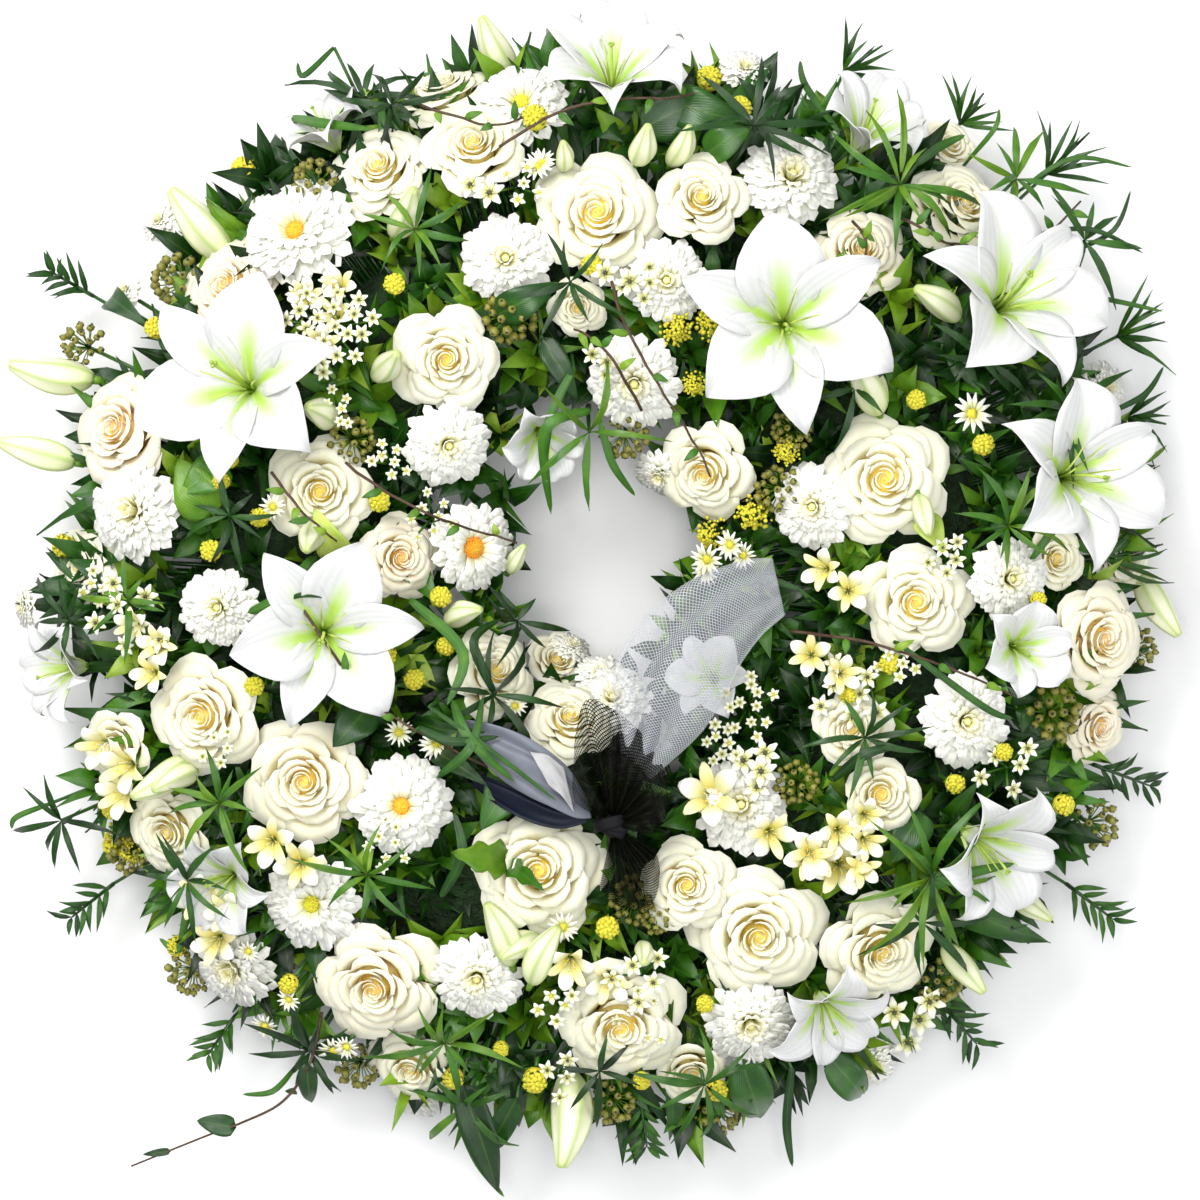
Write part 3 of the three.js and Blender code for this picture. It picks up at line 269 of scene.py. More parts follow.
# The flowers of each spray of the frame.
SPRAYS: dict[str, list[Bloom]] = {
    "lily_01": [
        lily(256, 392, 205, spin=20), bud(335, 425, 66, lean=20), bud(398, 378, 62, lean=30, toward=40),
    ],
    "lily_02": [lily(343, 630, 190, spin=10), bud(470, 615, 56, lean=40, toward=20)],
    "lily_03": [lily(775, 338, 215, spin=40), bud(850, 395, 80, lean=50, toward=120)],
    "lily_04": [
        lily(612, 82, 170, lean=40, lift=16, spin=30, cup=0.3), bud(500, 60, 70, lean=60, toward=120),
        bud(565, 178, 44, lean=30, toward=90), bud(676, 168, 56, lean=40, toward=60),
    ],
    "lily_05": [lily(862, 140, 140, lean=46, lift=12, spin=10, cup=0.5)],
    "lily_06": [lily(1003, 305, 205, spin=50), bud(920, 318, 66, lean=50, toward=150)],
    "lily_07": [
        lily(1062, 478, 190, spin=35, lift=28), lily(1000, 645, 120, spin=20, cup=0.5, lift=12),
        bud(1146, 605, 74, lean=70, toward=-60, lift=-4),
    ],
    "lily_09": [lily(975, 838, 165, lean=42, lift=20, cup=0.4)],
    "lily_10": [lily(72, 668, 120, lean=50, lift=10, cup=0.3)],
    "lily_11": [
        lily(822, 1002, 130, lean=44, lift=0, spin=25),
        bud(950, 955, 64, lean=60, toward=-50),
        bud(1015, 892, 56, lean=60, toward=-40),
    ],
    "lily_12": [lily(238, 872, 120, lean=30, lift=2, cup=0.4), bud(195, 772, 60, lean=40)],
    "lily_13": [lily(545, 448, 105, lean=-30, lift=-4, cup=0.5)],
    "lily_15": [
        lily(330, 138, 110, lean=62, lift=0, cup=0.4),
        bud(212, 235, 90, lean=75, toward=130, lift=-2),
        bud(414, 232, 70, lean=40, toward=60),
    ],
    "lily_16": [
        bud(525, 930, 60, lean=40, toward=200), bud(640, 935, 44, lean=20),
        bud(567, 1100, 96, lean=70, toward=-95),
        stars(592, 962, 60, 2, 46), aster(565, 910, 30),
    ],
    "rose_01": [
        rose(443, 93, 88, lean=56, lift=-8),
        rose(478, 160, 85, open=0.86, lean=24),
        rose(385, 180, 88, lift=-8),
    ],
    "rose_02": [
        rose(597, 230, 112, open=1.08), rose(697, 215, 78, open=0.86),
        rose(579, 322, 50, lift=-8),
    ],
    "rose_03": [rose(957, 212, 92), rose(853, 262, 84, tone=0.35, lift=-14)],
    "rose_04": [rose(236, 295, 90, tone=0.8, lift=-12)],
    "rose_05": [
        rose(128, 433, 98, tone=0.8), bud(66, 378, 84, lean=80, toward=170, lift=4),
        bud(52, 456, 78, lean=80, toward=165, lift=6),
    ],
    "rose_06": [rose(455, 373, 92)],
    "rose_07": [rose(335, 497, 95)],
    "rose_08": [
        rose(870, 485, 110), rose(900, 602, 95), rose(838, 722, 64, open=0.9),
        rose(867, 785, 64, open=0.7),
    ],
    "rose_09": [
        rose(1088, 638, 98, tone=0.5, lift=2),
        rose(1088, 724, 64, tone=0.7, lift=-12),
        rose(1118, 556, 66, lift=-16),
    ],
    "rose_10": [
        rose(217, 712, 100, tone=0.15), rose(318, 773, 108, tone=0.25),
        rose(180, 826, 76, lift=-8, open=0.86),
        spike(118, 842, 46, lift=-6, tall=0.7),
    ],
    "rose_11": [rose(542, 857, 115)],
    "rose_12": [
        rose(752, 922, 112),
        rose(872, 940, 100, lift=-2),
        rose(682, 870, 80, open=1.06, lift=4),
    ],
    "rose_13": [rose(382, 975, 108, tone=0.3), rose(415, 1060, 78, lift=-16)],
    "rose_14": [rose(620, 1012, 110), button(700, 985, 20), button(713, 1074, 24)],
    "rose_15": [rose(697, 483, 86)],
    "rose_16": [
        rose(503, 665, 76),
        rose(572, 708, 76, lift=-2),
        button(455, 643, 22), button(425, 675, 24), aster(443, 737, 30), aster(410, 725, 28),
    ],
    "rose_17": [rose(412, 560, 74, tone=0.7, lift=-12)],
    "chrysanthemum_01": [
        mum(303, 240, 106, form=1), button(250, 176, 28), mum(133, 297, 38), button(170, 337, 24),
    ],
    "chrysanthemum_02": [mum(523, 115, 88, form=2), aster(540, 187, 30)],
    "chrysanthemum_03": [
        mum(510, 275, 84), button(405, 300, 24), stars(618, 300, 36, 2, 30, lift=2),
        stars(486, 216, 34, 2, 34),
    ],
    "chrysanthemum_04": [
        mum(785, 190, 92), mum(742, 76, 48), button(706, 94, 28), button(737, 127, 22),
    ],
    "chrysanthemum_05": [
        mum(663, 297, 78), mum(632, 397, 88),
        mum(655, 485, 52, lean=-48, lift=-10),
        spike(706, 338, 44, tall=0.8),
        spike(688, 398, 30, lift=-2),
    ],
    "chrysanthemum_06": [
        mum(458, 455, 80), mum(485, 552, 84, form=3), button(392, 507, 24), button(450, 597, 24),
    ],
    "chrysanthemum_07": [
        mum(147, 514, 92), mum(33, 607, 40, lean=60), button(75, 547, 26),
        rose(90, 568, 70, lift=-16),
    ],
    "chrysanthemum_08": [
        mum(235, 607, 74), button(230, 553, 24), button(277, 522, 22), button(272, 682, 22),
        stars(168, 642, 60, 3, 38),
    ],
    "chrysanthemum_09": [
        mum(993, 580, 76), mum(950, 716, 86), button(874, 660, 24), button(938, 775, 22),
        button(1048, 798, 24),
    ],
    "chrysanthemum_10": [
        mum(412, 795, 92, form=1), mum(322, 893, 90, form=2), stars(303, 846, 50, 2, 44),
    ],
    "chrysanthemum_11": [
        mum(733, 793, 88), stars(690, 780, 40, 1, 56), stars(815, 852, 44, 2, 52),
    ],
    "chrysanthemum_12": [mum(482, 962, 82), button(537, 1063, 28), button(458, 1062, 24)],
    "chrysanthemum_13": [mum(745, 1010, 86, lift=-4)],
    "chrysanthemum_14": [
        mum(238, 962, 86), button(185, 940, 24), aster(272, 1018, 30),
        aster(340, 1040, 30, lift=-8),
        button(300, 970, 22),
    ],
    "chrysanthemum_15": [
        mum(612, 690, 72, lean=-30, lift=-8),
        mum(575, 640, 40, lean=-60, lift=-14),
        lily(704, 672, 100, lean=-20, lift=-2, cup=0.4),
    ],
    "chrysanthemum_16": [
        mum(1100, 390, 56, lift=-10),
        button(965, 452, 24), button(900, 410, 22),
        aster(955, 422, 40, lift=-2),
    ],
    "chrysanthemum_17": [
        mum(800, 512, 78, lift=-4),
        spike(740, 520, 46, lift=-2, tall=0.7),
        aster(700, 572, 30), aster(735, 558, 28), stars(822, 590, 50, 2, 42),
        stars(815, 668, 50, 2, 40),
    ],
    "stars_01": [stars(335, 330, 70, 4, 38)],
}

# Flowers too small or too hidden for a spray of their own. They grow from the leaf beds.
EXTRAS: list[Bloom] = [
    button(538, 140, 28, lift=16), button(592, 283, 24), button(247, 466, 22), button(240, 487, 20),
    button(398, 652, 24, lift=6), button(607, 910, 26, lift=4), button(125, 803, 24),
    button(735, 124, 22), button(985, 745, 20), button(1018, 600, 18), button(640, 1062, 20),
    button(835, 690, 20), button(285, 660, 18), button(505, 1030, 18), button(205, 430, 18),
    bud(330, 540, 60, lean=30, toward=250, lift=6), bud(905, 520, 50, lean=50, toward=280, lift=8),
    bud(640, 168, 60, lean=30, toward=70, lift=8),
    bud(180, 770, 70, lean=60, toward=215, lift=-2),
    bud(505, 915, 74, lean=60, toward=110, lift=6), bud(548, 935, 70, lean=62, toward=65, lift=6),
    aster(290, 512, 26), aster(700, 562, 34, lift=4), aster(722, 548, 30, lift=4), aster(262, 938, 24),
    aster(355, 1032, 26), aster(545, 182, 26), aster(446, 735, 30, lift=2), aster(300, 985, 24),
    aster(520, 700, 24), umbel(366, 448, 46), umbel(632, 885, 46), umbel(1140, 508, 44),
    umbel(130, 852, 46), umbel(765, 498, 46), umbel(785, 772, 42, lift=4), umbel(358, 1066, 46),
    umbel(780, 440, 40), umbel(515, 330, 54), umbel(180, 280, 54), umbel(84, 345, 46),
    umbel(320, 188, 46), umbel(1045, 712, 54), umbel(622, 452, 44), umbel(1095, 825, 50),
    umbel(935, 978, 46), umbel(612, 1095, 46), umbel(716, 1115, 50), umbel(190, 972, 46),
    umbel(1135, 648, 42), umbel(655, 900, 36), spike(672, 345, 40, tall=0.8, lift=4),
    spike(735, 325, 36, tall=0.8, lift=4), spike(700, 540, 40, tall=0.7), spike(775, 460, 34, tall=0.7),
    spike(135, 850, 36, tall=0.7), stars(342, 340, 92, 24, 18, lift=8), stars(150, 620, 80, 7, 24),
    stars(835, 690, 70, 7, 24), stars(520, 205, 50, 6, 14), stars(640, 300, 40, 5, 22),
    stars(640, 960, 60, 5, 24), stars(560, 985, 40, 5, 16), stars(440, 520, 50, 8, 12),
    stars(745, 760, 40, 4, 30, lift=8), stars(840, 830, 60, 4, 40, lift=8, tone=0.6),
    stars(742, 702, 60, 12, 13, lift=4), stars(716, 735, 40, 8, 13, lift=4),
    stars(350, 420, 40, 7, 12, lift=2), stars(400, 470, 40, 7, 12, lift=0),
    stars(640, 1000, 60, 7, 12, lift=-2),
    stars(400, 830, 50, 8, 12, lift=2), stars(240, 740, 40, 5, 13, lift=2),
    stars(120, 590, 40, 7, 14, lift=0), stars(880, 660, 40, 6, 14, lift=0),
    stars(930, 560, 40, 5, 20, lift=2), stars(600, 375, 30, 3, 22, lift=4),
    stars(230, 900, 60, 3, 44, lift=0), stars(780, 840, 60, 2, 46, lift=8, tone=0.3),
    stars(130, 760, 60, 3, 46, lift=-4),
    stars(990, 760, 60, 5, 20, lift=0),
    stars(560, 1060, 50, 5, 20, lift=-4),
    stars(900, 1010, 60, 4, 34, lift=-6),
    mum(165, 225, 44, lift=-10, lean=40),
    mum(420, 1090, 60, lift=-14),
    mum(870, 1060, 56, lift=-14),
    rose(130, 745, 66, open=0.8, lift=-12),
    rose(560, 655, 56, open=0.8, lift=-16),
    rose(1040, 560, 56, open=0.8, lift=-14),
    rose(945, 150, 50, open=0.8, lift=-14),
    rose(690, 1060, 60, open=0.8, lift=-16),
    mum(600, 668, 50, lift=-10),
    bud(520, 560, 40, lean=50, toward=60, lift=0),
]

# Whorls of slim leaves: plan position, number, length, lift and spin.
WHORLS: list[tuple[float, float, int, float, float, float]] = [
    (370, 112, 9, 74, 4, 20), (400, 125, 7, 60, 8, 50), (885, 205, 12, 92, 14, 10),
    (1005, 190, 8, 70, 4, 0), (1072, 250, 8, 76, 2, 30), (1045, 420, 9, 72, 4, 15),
    (985, 530, 10, 66, 10, 50), (912, 862, 12, 92, 14, 0), (905, 905, 8, 70, 12, 30),
    (498, 690, 8, 80, 8, 40), (240, 792, 10, 66, 8, 25), (75, 815, 8, 72, 0, 0),
    (205, 868, 9, 66, 4, 50), (318, 1040, 10, 80, 0, 10), (452, 1022, 9, 70, 4, 35),
    (745, 150, 11, 78, 14, 20), (700, 1064, 9, 74, 0, 5), (88, 620, 8, 62, 0, 45),
    (425, 250, 8, 66, 8, 0), (572, 300, 7, 60, 6, 30), (590, 440, 5, 84, 4, 70),
    (150, 600, 8, 58, 0, 15), (960, 370, 7, 60, 4, 33), (250, 520, 8, 56, 4, 12),
    (380, 860, 8, 64, 2, 80), (840, 400, 6, 62, 6, 20), (470, 1090, 7, 70, -6, 10),
    (600, 1050, 6, 60, -4, 40), (850, 730, 9, 66, 4, 15), (520, 620, 6, 54, 0, 0),
    (1120, 470, 7, 60, -4, 20),
]

# Broad leaves: plan root, plan tip, width and the lift of the tip, and the leaf's tone.
BROAD_LEAVES: list[tuple[float, float, float, float, float, float, float]] = [
    (640, 150, 700, 118, 44, 8, 0.25), (655, 120, 745, 146, 42, 2, 0.3),
    (700, 175, 742, 150, 34, 12, 0.35), (466, 1064, 503, 1180, 34, 0, 0.12),
    (520, 1080, 482, 1150, 26, -4, 0.2), (512, 848, 464, 838, 40, 34, 0.62),
    (514, 851, 546, 868, 22, 36, 0.42), (430, 716, 500, 728, 24, 34, 0.2),
    (440, 742, 492, 770, 22, 30, 0.15), (735, 1040, 760, 1110, 42, 0, 0.3),
    (232, 520, 196, 468, 48, 6, 0.6), (245, 470, 205, 500, 40, 6, 0.5),
    (905, 520, 925, 552, 28, 10, 0.9), (355, 560, 330, 516, 32, 10, 0.95),
    (120, 305, 158, 330, 26, 4, 0.2), (545, 350, 580, 410, 24, 2, 0.15),
    (500, 330, 560, 300, 34, 4, 0.25), (380, 700, 350, 740, 40, 2, 0.25),
    (820, 1040, 860, 1090, 36, -4, 0.3), (905, 800, 880, 850, 40, 2, 0.3),
    (520, 760, 490, 815, 46, 8, 0.35),
]

# Leafy twigs that stand out past the flowers: plan root and tip, and the lift of the tip.
SPRIGS: list[tuple[float, float, float, float, float]] = [
    (1090, 560, 1172, 540, -6), (1080, 760, 1160, 790, -14), (1060, 880, 1120, 926, -14),
    (930, 990, 984, 1052, -14), (100, 300, 44, 268, -14), (120, 880, 66, 924, -14),
    (840, 80, 892, 46, -12), (1040, 180, 1096, 126, -10), (1110, 340, 1172, 322, -12),
    (640, 1090, 648, 1152, -14), (240, 1010, 206, 1060, -14), (955, 130, 985, 92, -10),
    (1120, 420, 1170, 430, -12),
]

# Long single blades: plan points of root, middle and tip, the width, and the lift of the tip.
BLADES: list[tuple[float, float, float, float, float, float, float, float]] = [
    (590, 420, 548, 440, 553, 518, 11, 10), (575, 380, 552, 430, 546, 490, 9, 4),
    (330, 560, 300, 598, 268, 612, 14, 14), (290, 600, 320, 592, 346, 596, 12, 16),
    (300, 130, 330, 140, 382, 150, 10, 8), (340, 60, 312, 90, 305, 76, 6, 2),
    (600, 430, 612, 470, 634, 500, 8, 2), (880, 640, 960, 700, 990, 712, 7, 14),
    (900, 880, 930, 862, 995, 850, 12, 16), (420, 600, 470, 650, 455, 700, 11, 10),
    (500, 690, 480, 640, 505, 618, 9, 12), (1010, 560, 1040, 520, 1060, 515, 9, 12),
    (905, 180, 930, 160, 955, 148, 9, 8), (450, 880, 470, 840, 462, 800, 10, 4),
    (785, 1052, 782, 1110, 788, 1154, 9, -4), (200, 900, 190, 940, 170, 930, 8, 0),
    (830, 150, 800, 100, 795, 74, 7, 2), (690, 600, 745, 580, 790, 590, 9, 10),
    (820, 770, 850, 745, 880, 738, 10, 8), (462, 696, 478, 730, 520, 770, 10, 34),
    (430, 720, 462, 732, 506, 728, 9, 34), (450, 764, 480, 736, 490, 690, 9, 34),
    (440, 700, 500, 742, 560, 788, 5, 36), (1010, 200, 1060, 170, 1120, 178, 5, 0),
    (1060, 260, 1100, 240, 1118, 200, 5, 0), (1070, 300, 1110, 310, 1150, 318, 5, -4),
    (1040, 240, 1080, 240, 1130, 262, 5, 2), (960, 170, 985, 140, 990, 120, 5, -4),
    (1090, 420, 1130, 400, 1150, 372, 6, 0), (300, 1060, 280, 1080, 250, 1084, 6, -8),
    (60, 800, 30, 812, 24, 824, 6, -8), (460, 1110, 480, 1150, 506, 1186, 8, -14),
]

# Thin brown stems that wander over the flowers: plan points, each with its lift.
VINES: list[list[tuple[float, float, float]]] = [
    [(610, 300, 2), (628, 350, 14), (655, 398, 18), (682, 438, 16), (705, 482, 10)],
    [(505, 170, 6), (560, 140, 20), (620, 126, 22), (665, 124, 16), (700, 112, 6)],
    [(780, 630, 6), (850, 640, 20), (920, 662, 22), (990, 690, 8)],
    [(290, 480, 6), (310, 505, 20), (330, 525, 22), (352, 545, 12)],
    [(315, 600, 8), (380, 690, 18), (460, 740, 16), (540, 780, 10)],
    [(880, 235, 10), (905, 250, 24), (925, 262, 26), (950, 262, 14)],
    [(640, 420, 8), (610, 372, 18), (590, 352, 14), (575, 345, 6)],
    [(418, 120, 0), (455, 138, 12), (500, 150, 12), (530, 140, 6)],
    [(840, 240, 4), (850, 262, 18), (848, 285, 14)],
    [(360, 470, 4), (410, 505, 18), (470, 530, 18), (520, 545, 8)],
    [(985, 275, 8), (1010, 262, 16), (1040, 240, 10), (1068, 212, 2)],
]

# The trailing stem at the lower left, with its heights over the table in millimetres.
TRAIL: list[tuple[float, float, float]] = [
    (330, 1000, 70), (318, 1050, 64), (290, 1090, 54), (250, 1112, 46), (215, 1126, 40),
    (138, 1158, 34),
]

# Finishes

Colour = tuple[float, float, float]


@dataclass
class Wiring:
    """The node tree of a material or a group, with short ways to add to it."""

    tree: bpy.types.NodeTree

    def add(self, kind: str, **settings: object) -> bpy.types.Node:
        """Adds a node; settings are its properties, or inputs where the name is an input's."""
        node = self.tree.nodes.new(kind)
        for name, value in settings.items():
            if hasattr(node, name) and name not in node.inputs:
                setattr(node, name, value)
            else:
                node.inputs[name.replace("_", " ")].default_value = value
        return node

    def link(self, source: bpy.types.NodeSocket, target: bpy.types.NodeSocket) -> None:
        """Joins two sockets."""
        self.tree.links.new(source, target)

    def maths(self, operation: str, *values: object, clamp: bool = False) -> bpy.types.NodeSocket:
        """A maths node on sockets or numbers.

        Args:
            operation: The name of the operation.
            values: Its inputs in order, each a socket or a number.
            clamp: Whether the result is held between 0 and 1.

        Returns:
            The result's socket.
        """
        node = self.tree.nodes.new("ShaderNodeMath")
        node.operation = operation
        node.use_clamp = clamp
        for i, value in enumerate(values):
            if isinstance(value, bpy.types.NodeSocket):
                self.link(value, node.inputs[i])
            else:
                node.inputs[i].default_value = value
        return node.outputs[0]

    def ramp(
        self, source: bpy.types.NodeSocket, stops: Sequence[tuple[float, Colour]]
    ) -> bpy.types.NodeSocket:
        """A colour ramp over a value."""
        node = self.tree.nodes.new("ShaderNodeValToRGB")
        band = node.color_ramp
        while len(band.elements) < len(stops):
            band.elements.new(0.5)
        for element, (place, colour) in zip(band.elements, stops):
            element.position = place
            element.color = (*colour, 1.0)
        self.link(source, node.inputs[0])
        return node.outputs[0]

    def mix(
        self,
        share: bpy.types.NodeSocket | float,
        first: bpy.types.NodeSocket | Colour,
        second: bpy.types.NodeSocket | Colour,
        mode: str = "MIX",
    ) -> bpy.types.NodeSocket:
        """A colour mix of two colours or sockets."""
        node = self.tree.nodes.new("ShaderNodeMix")
        node.data_type = "RGBA"
        node.blend_type = mode
        for socket, value in ((node.inputs[0], share), (node.inputs[6], first), (node.inputs[7], second)):
            if isinstance(value, bpy.types.NodeSocket):
                self.link(value, socket)
            else:
                socket.default_value = value if isinstance(value, float) else (*value, 1.0)
        return node.outputs[2]


def new_group(name: str, inputs: dict[str, tuple[str, object]], outputs: Sequence[tuple[str, str]]) -> Wiring:
    """An empty shader node group with named sockets."""
    tree = bpy.data.node_groups.new(name, "ShaderNodeTree")
    for label, (kind, value) in inputs.items():
        socket = tree.interface.new_socket(label, in_out="INPUT", socket_type=kind)
        if value is not None:
            socket.default_value = value
    for label, kind in outputs:
        tree.interface.new_socket(label, in_out="OUTPUT", socket_type=kind)
    tree.nodes.new("NodeGroupInput")
    tree.nodes.new("NodeGroupOutput")
    return Wiring(tree)


@dataclass
class Effects:
    """The surface effects that several finishes share, each a node group built once."""

    groups: dict[str, bpy.types.NodeTree] = field(default_factory=dict)

    def build(self) -> None:
        """Builds every group."""
        self.groups = {"mottle": self.mottle(), "veins": self.veins(), "net": self.net()}

    def mottle(self) -> bpy.types.NodeTree:
        """Soft uneven patches: a share of 0 to 1 that changes over the surface."""
        wiring = new_group(
            "uneven_patches",
            {"Scale": ("NodeSocketFloat", 60.0), "Contrast": ("NodeSocketFloat", 1.0)},
            [("Share", "NodeSocketFloat")],
        )
        nodes = wiring.tree.nodes
        source, target = nodes["Group Input"], nodes["Group Output"]
        place = wiring.add("ShaderNodeTexCoord")
        cloud = wiring.add("ShaderNodeTexNoise", Detail=3.0, Roughness=0.6)
        wiring.link(place.outputs["Object"], cloud.inputs["Vector"])
        wiring.link(source.outputs["Scale"], cloud.inputs["Scale"])
        centred = wiring.maths("SUBTRACT", cloud.outputs[0], 0.5)
        wide = wiring.maths("MULTIPLY", centred, source.outputs["Contrast"])
        wiring.link(wiring.maths("ADD", wide, 0.5, clamp=True), target.inputs["Share"])
        return wiring.tree

    def veins(self) -> bpy.types.NodeTree:
        """Fine lines that run the length of a petal or leaf and fan out from its middle."""
        wiring = new_group(
            "lengthwise_veins",
            {"Lines": ("NodeSocketFloat", 14.0), "Slant": ("NodeSocketFloat", 0.0)},
            [("Line", "NodeSocketFloat"), ("Middle", "NodeSocketFloat"), ("Length", "NodeSocketFloat")],
        )
        nodes = wiring.tree.nodes
        source, target = nodes["Group Input"], nodes["Group Output"]
        place = wiring.add("ShaderNodeTexCoord")
        split = wiring.add("ShaderNodeSeparateXYZ")
        wiring.link(place.outputs["UV"], split.inputs[0])
        across = wiring.maths("ABSOLUTE", wiring.maths("SUBTRACT", split.outputs[0], 0.5))
        slanted = wiring.maths("MULTIPLY", split.outputs[1], source.outputs["Slant"])
        run = wiring.maths("SUBTRACT", across, slanted)
        turns = wiring.maths("MULTIPLY", source.outputs["Lines"], math.tau)
        wave = wiring.maths("SINE", wiring.maths("MULTIPLY", run, turns))
        wiring.link(wiring.maths("MULTIPLY_ADD", wave, 0.5, 0.5), target.inputs["Line"])
        middle = wiring.maths("SUBTRACT", 1.0, wiring.maths("MULTIPLY", across, 2.0), clamp=True)
        wiring.link(middle, target.inputs["Middle"])
        wiring.link(split.outputs[1], target.inputs["Length"])
        return wiring.tree

    def net(self) -> bpy.types.NodeTree:
        """The threads of a net laid on the bias: 1 on a thread and 0 in a hole."""
        wiring = new_group(
            "net_threads",
            {
                "Width": ("NodeSocketFloat", 0.1),
                "Height": ("NodeSocketFloat", 0.1),
                "Pitch": ("NodeSocketFloat", 0.002),
                "Thread": ("NodeSocketFloat", 0.2),
            },
            [("Thread", "NodeSocketFloat")],
        )
        nodes = wiring.tree.nodes
        source, target = nodes["Group Input"], nodes["Group Output"]
        place = wiring.add("ShaderNodeTexCoord")
        split = wiring.add("ShaderNodeSeparateXYZ")
        wiring.link(place.outputs["UV"], split.inputs[0])
        x = wiring.maths("MULTIPLY", split.outputs[0], source.outputs["Width"])
        y = wiring.maths("MULTIPLY", split.outputs[1], source.outputs["Height"])
        threads = []
        for operation in ("ADD", "SUBTRACT"):
            run = wiring.maths("DIVIDE", wiring.maths(operation, x, y), source.outputs["Pitch"])
            threads.append(wiring.maths("LESS_THAN", wiring.maths("FRACT", run), source.outputs["Thread"]))
        wiring.link(wiring.maths("MAXIMUM", *threads), target.inputs["Thread"])
        return wiring.tree

    def use(self, wiring: Wiring, name: str, **values: float) -> bpy.types.Node:
        """Places one of the groups in a material."""
        node = wiring.tree.nodes.new("ShaderNodeGroup")
        node.node_tree = self.groups[name]
        for label, value in values.items():
            node.inputs[label].default_value = value
        return node


EFFECTS = Effects()


@dataclass(frozen=True)
class Finish:
    """The plain facts of a finish: its name, its roughness and how deep its bumps are."""

    name: str
    roughness: float
    bump: float = 0.0
    coat: float = 0.0
    glow: float = 0.0

    def start(self) -> tuple[bpy.types.Material, Wiring, bpy.types.Node]:
        """A new material with its wiring and its shader, set to the plain facts."""
        material = bpy.data.materials.new(self.name)
        material.use_nodes = True
        wiring = Wiring(material.node_tree)
        shader = material.node_tree.nodes["Principled BSDF"]
        shader.inputs["Roughness"].default_value = self.roughness
        shader.inputs["Coat Weight"].default_value = self.coat
        shader.inputs["Coat Roughness"].default_value = 0.25
        if self.glow:
            shader.inputs["Subsurface Weight"].default_value = self.glow
            shader.inputs["Subsurface Radius"].default_value = (0.6, 0.5, 0.35)
            shader.inputs["Subsurface Scale"].default_value = 0.004
        return material, wiring, shader

    def raise_by(
        self, wiring: Wiring, shader: bpy.types.Node, height: bpy.types.NodeSocket, reach: float = 0.0004
    ) -> None:
        """Feeds a height to the shader's normal."""
        bump = wiring.add("ShaderNodeBump", Strength=self.bump, Distance=reach)
        wiring.link(height, bump.inputs["Height"])
        wiring.link(bump.outputs[0], shader.inputs["Normal"])

    def tone_of(self, wiring: Wiring) -> bpy.types.NodeSocket:
        """The tone that each flower or leaf carries."""
        return wiring.add("ShaderNodeAttribute", attribute_name="tone").outputs["Fac"]

    def material(self) -> bpy.types.Material:
        """The finished material."""
        raise NotImplementedError


class RosePetal(Finish):
    """Cream petals, deeper and warmer towards the heart; a higher tone is peach."""

    def material(self) -> bpy.types.Material:
        """The rose material."""
        material, wiring, shader = self.start()
        veins = EFFECTS.use(wiring, "veins", Lines=11.0, Slant=0.1)
        mottle = EFFECTS.use(wiring, "mottle", Scale=90.0, Contrast=0.8)
        inward = wiring.maths("SUBTRACT", veins.outputs["Length"], 0.08)
        length = wiring.maths("MULTIPLY_ADD", mottle.outputs[0], 0.16, inward)
        cream = wiring.ramp(
            length,
            [
                (0.0, (0.84, 0.6, 0.1)),
                (0.4, (0.89, 0.75, 0.3)),
                (0.72, (0.91, 0.85, 0.54)),
                (1.0, (0.92, 0.9, 0.72)),
            ],
        )
        peach = wiring.ramp(
            length,
            [
                (0.0, (0.86, 0.48, 0.13)),
                (0.4, (0.89, 0.62, 0.29)),
                (0.75, (0.91, 0.76, 0.51)),
                (1.0, (0.92, 0.84, 0.67)),
            ],
        )
        wiring.link(wiring.mix(self.tone_of(wiring), cream, peach), shader.inputs["Base Color"])
        self.raise_by(wiring, shader, veins.outputs["Line"])
        return material


class LilyPetal(Finish):
    """White petals with a lime streak up the middle of the throat, a faint green rib, and painted shade of
    the ribbing in grey stripes along the veins.
    """

    def material(self) -> bpy.types.Material:
        """The lily material."""
        material, wiring, shader = self.start()
        veins = EFFECTS.use(wiring, "veins", Lines=9.0, Slant=0.05)
        length, middle = veins.outputs["Length"], veins.outputs["Middle"]
        mottle = EFFECTS.use(wiring, "mottle", Scale=45.0, Contrast=0.7)
        patches = wiring.maths("MULTIPLY", mottle.outputs[0], 0.7)
        # Painted shade: grey stripes along the veins stand for the shading of the ribbing; the patches are an
        # uneven tone.
        vein_shade_and_patches = wiring.maths("MULTIPLY_ADD", veins.outputs["Line"], 0.3, patches)
        white = wiring.mix(vein_shade_and_patches, (0.6, 0.61, 0.6), (0.75, 0.745, 0.74))
        fading = wiring.maths("SUBTRACT", 0.8, length, clamp=True)
        rib = wiring.maths("MULTIPLY", wiring.maths("POWER", middle, 14.0), fading)
        ribbed = wiring.mix(wiring.maths("MULTIPLY", rib, 0.9, clamp=True), white, (0.68, 0.8, 0.42))
        throat = wiring.maths("MULTIPLY", wiring.maths("SUBTRACT", 0.56, length), 5.0, clamp=True)
        inside = wiring.maths("MULTIPLY", wiring.maths("SUBTRACT", middle, 0.7), 5.0, clamp=True)
        streak = wiring.maths("MULTIPLY", inside, throat)
        streaked = wiring.mix(wiring.maths("MULTIPLY", streak, 0.85), ribbed, (0.4, 0.64, 0.03))
        depth = wiring.maths("MULTIPLY", wiring.maths("SUBTRACT", 0.3, length), 4.0, clamp=True)
        deep = wiring.mix(wiring.maths("MULTIPLY", depth, 0.8), streaked, (0.5, 0.7, 0.08))
        wiring.link(deep, shader.inputs["Base Color"])
        self.raise_by(wiring, shader, veins.outputs["Line"])
        return material


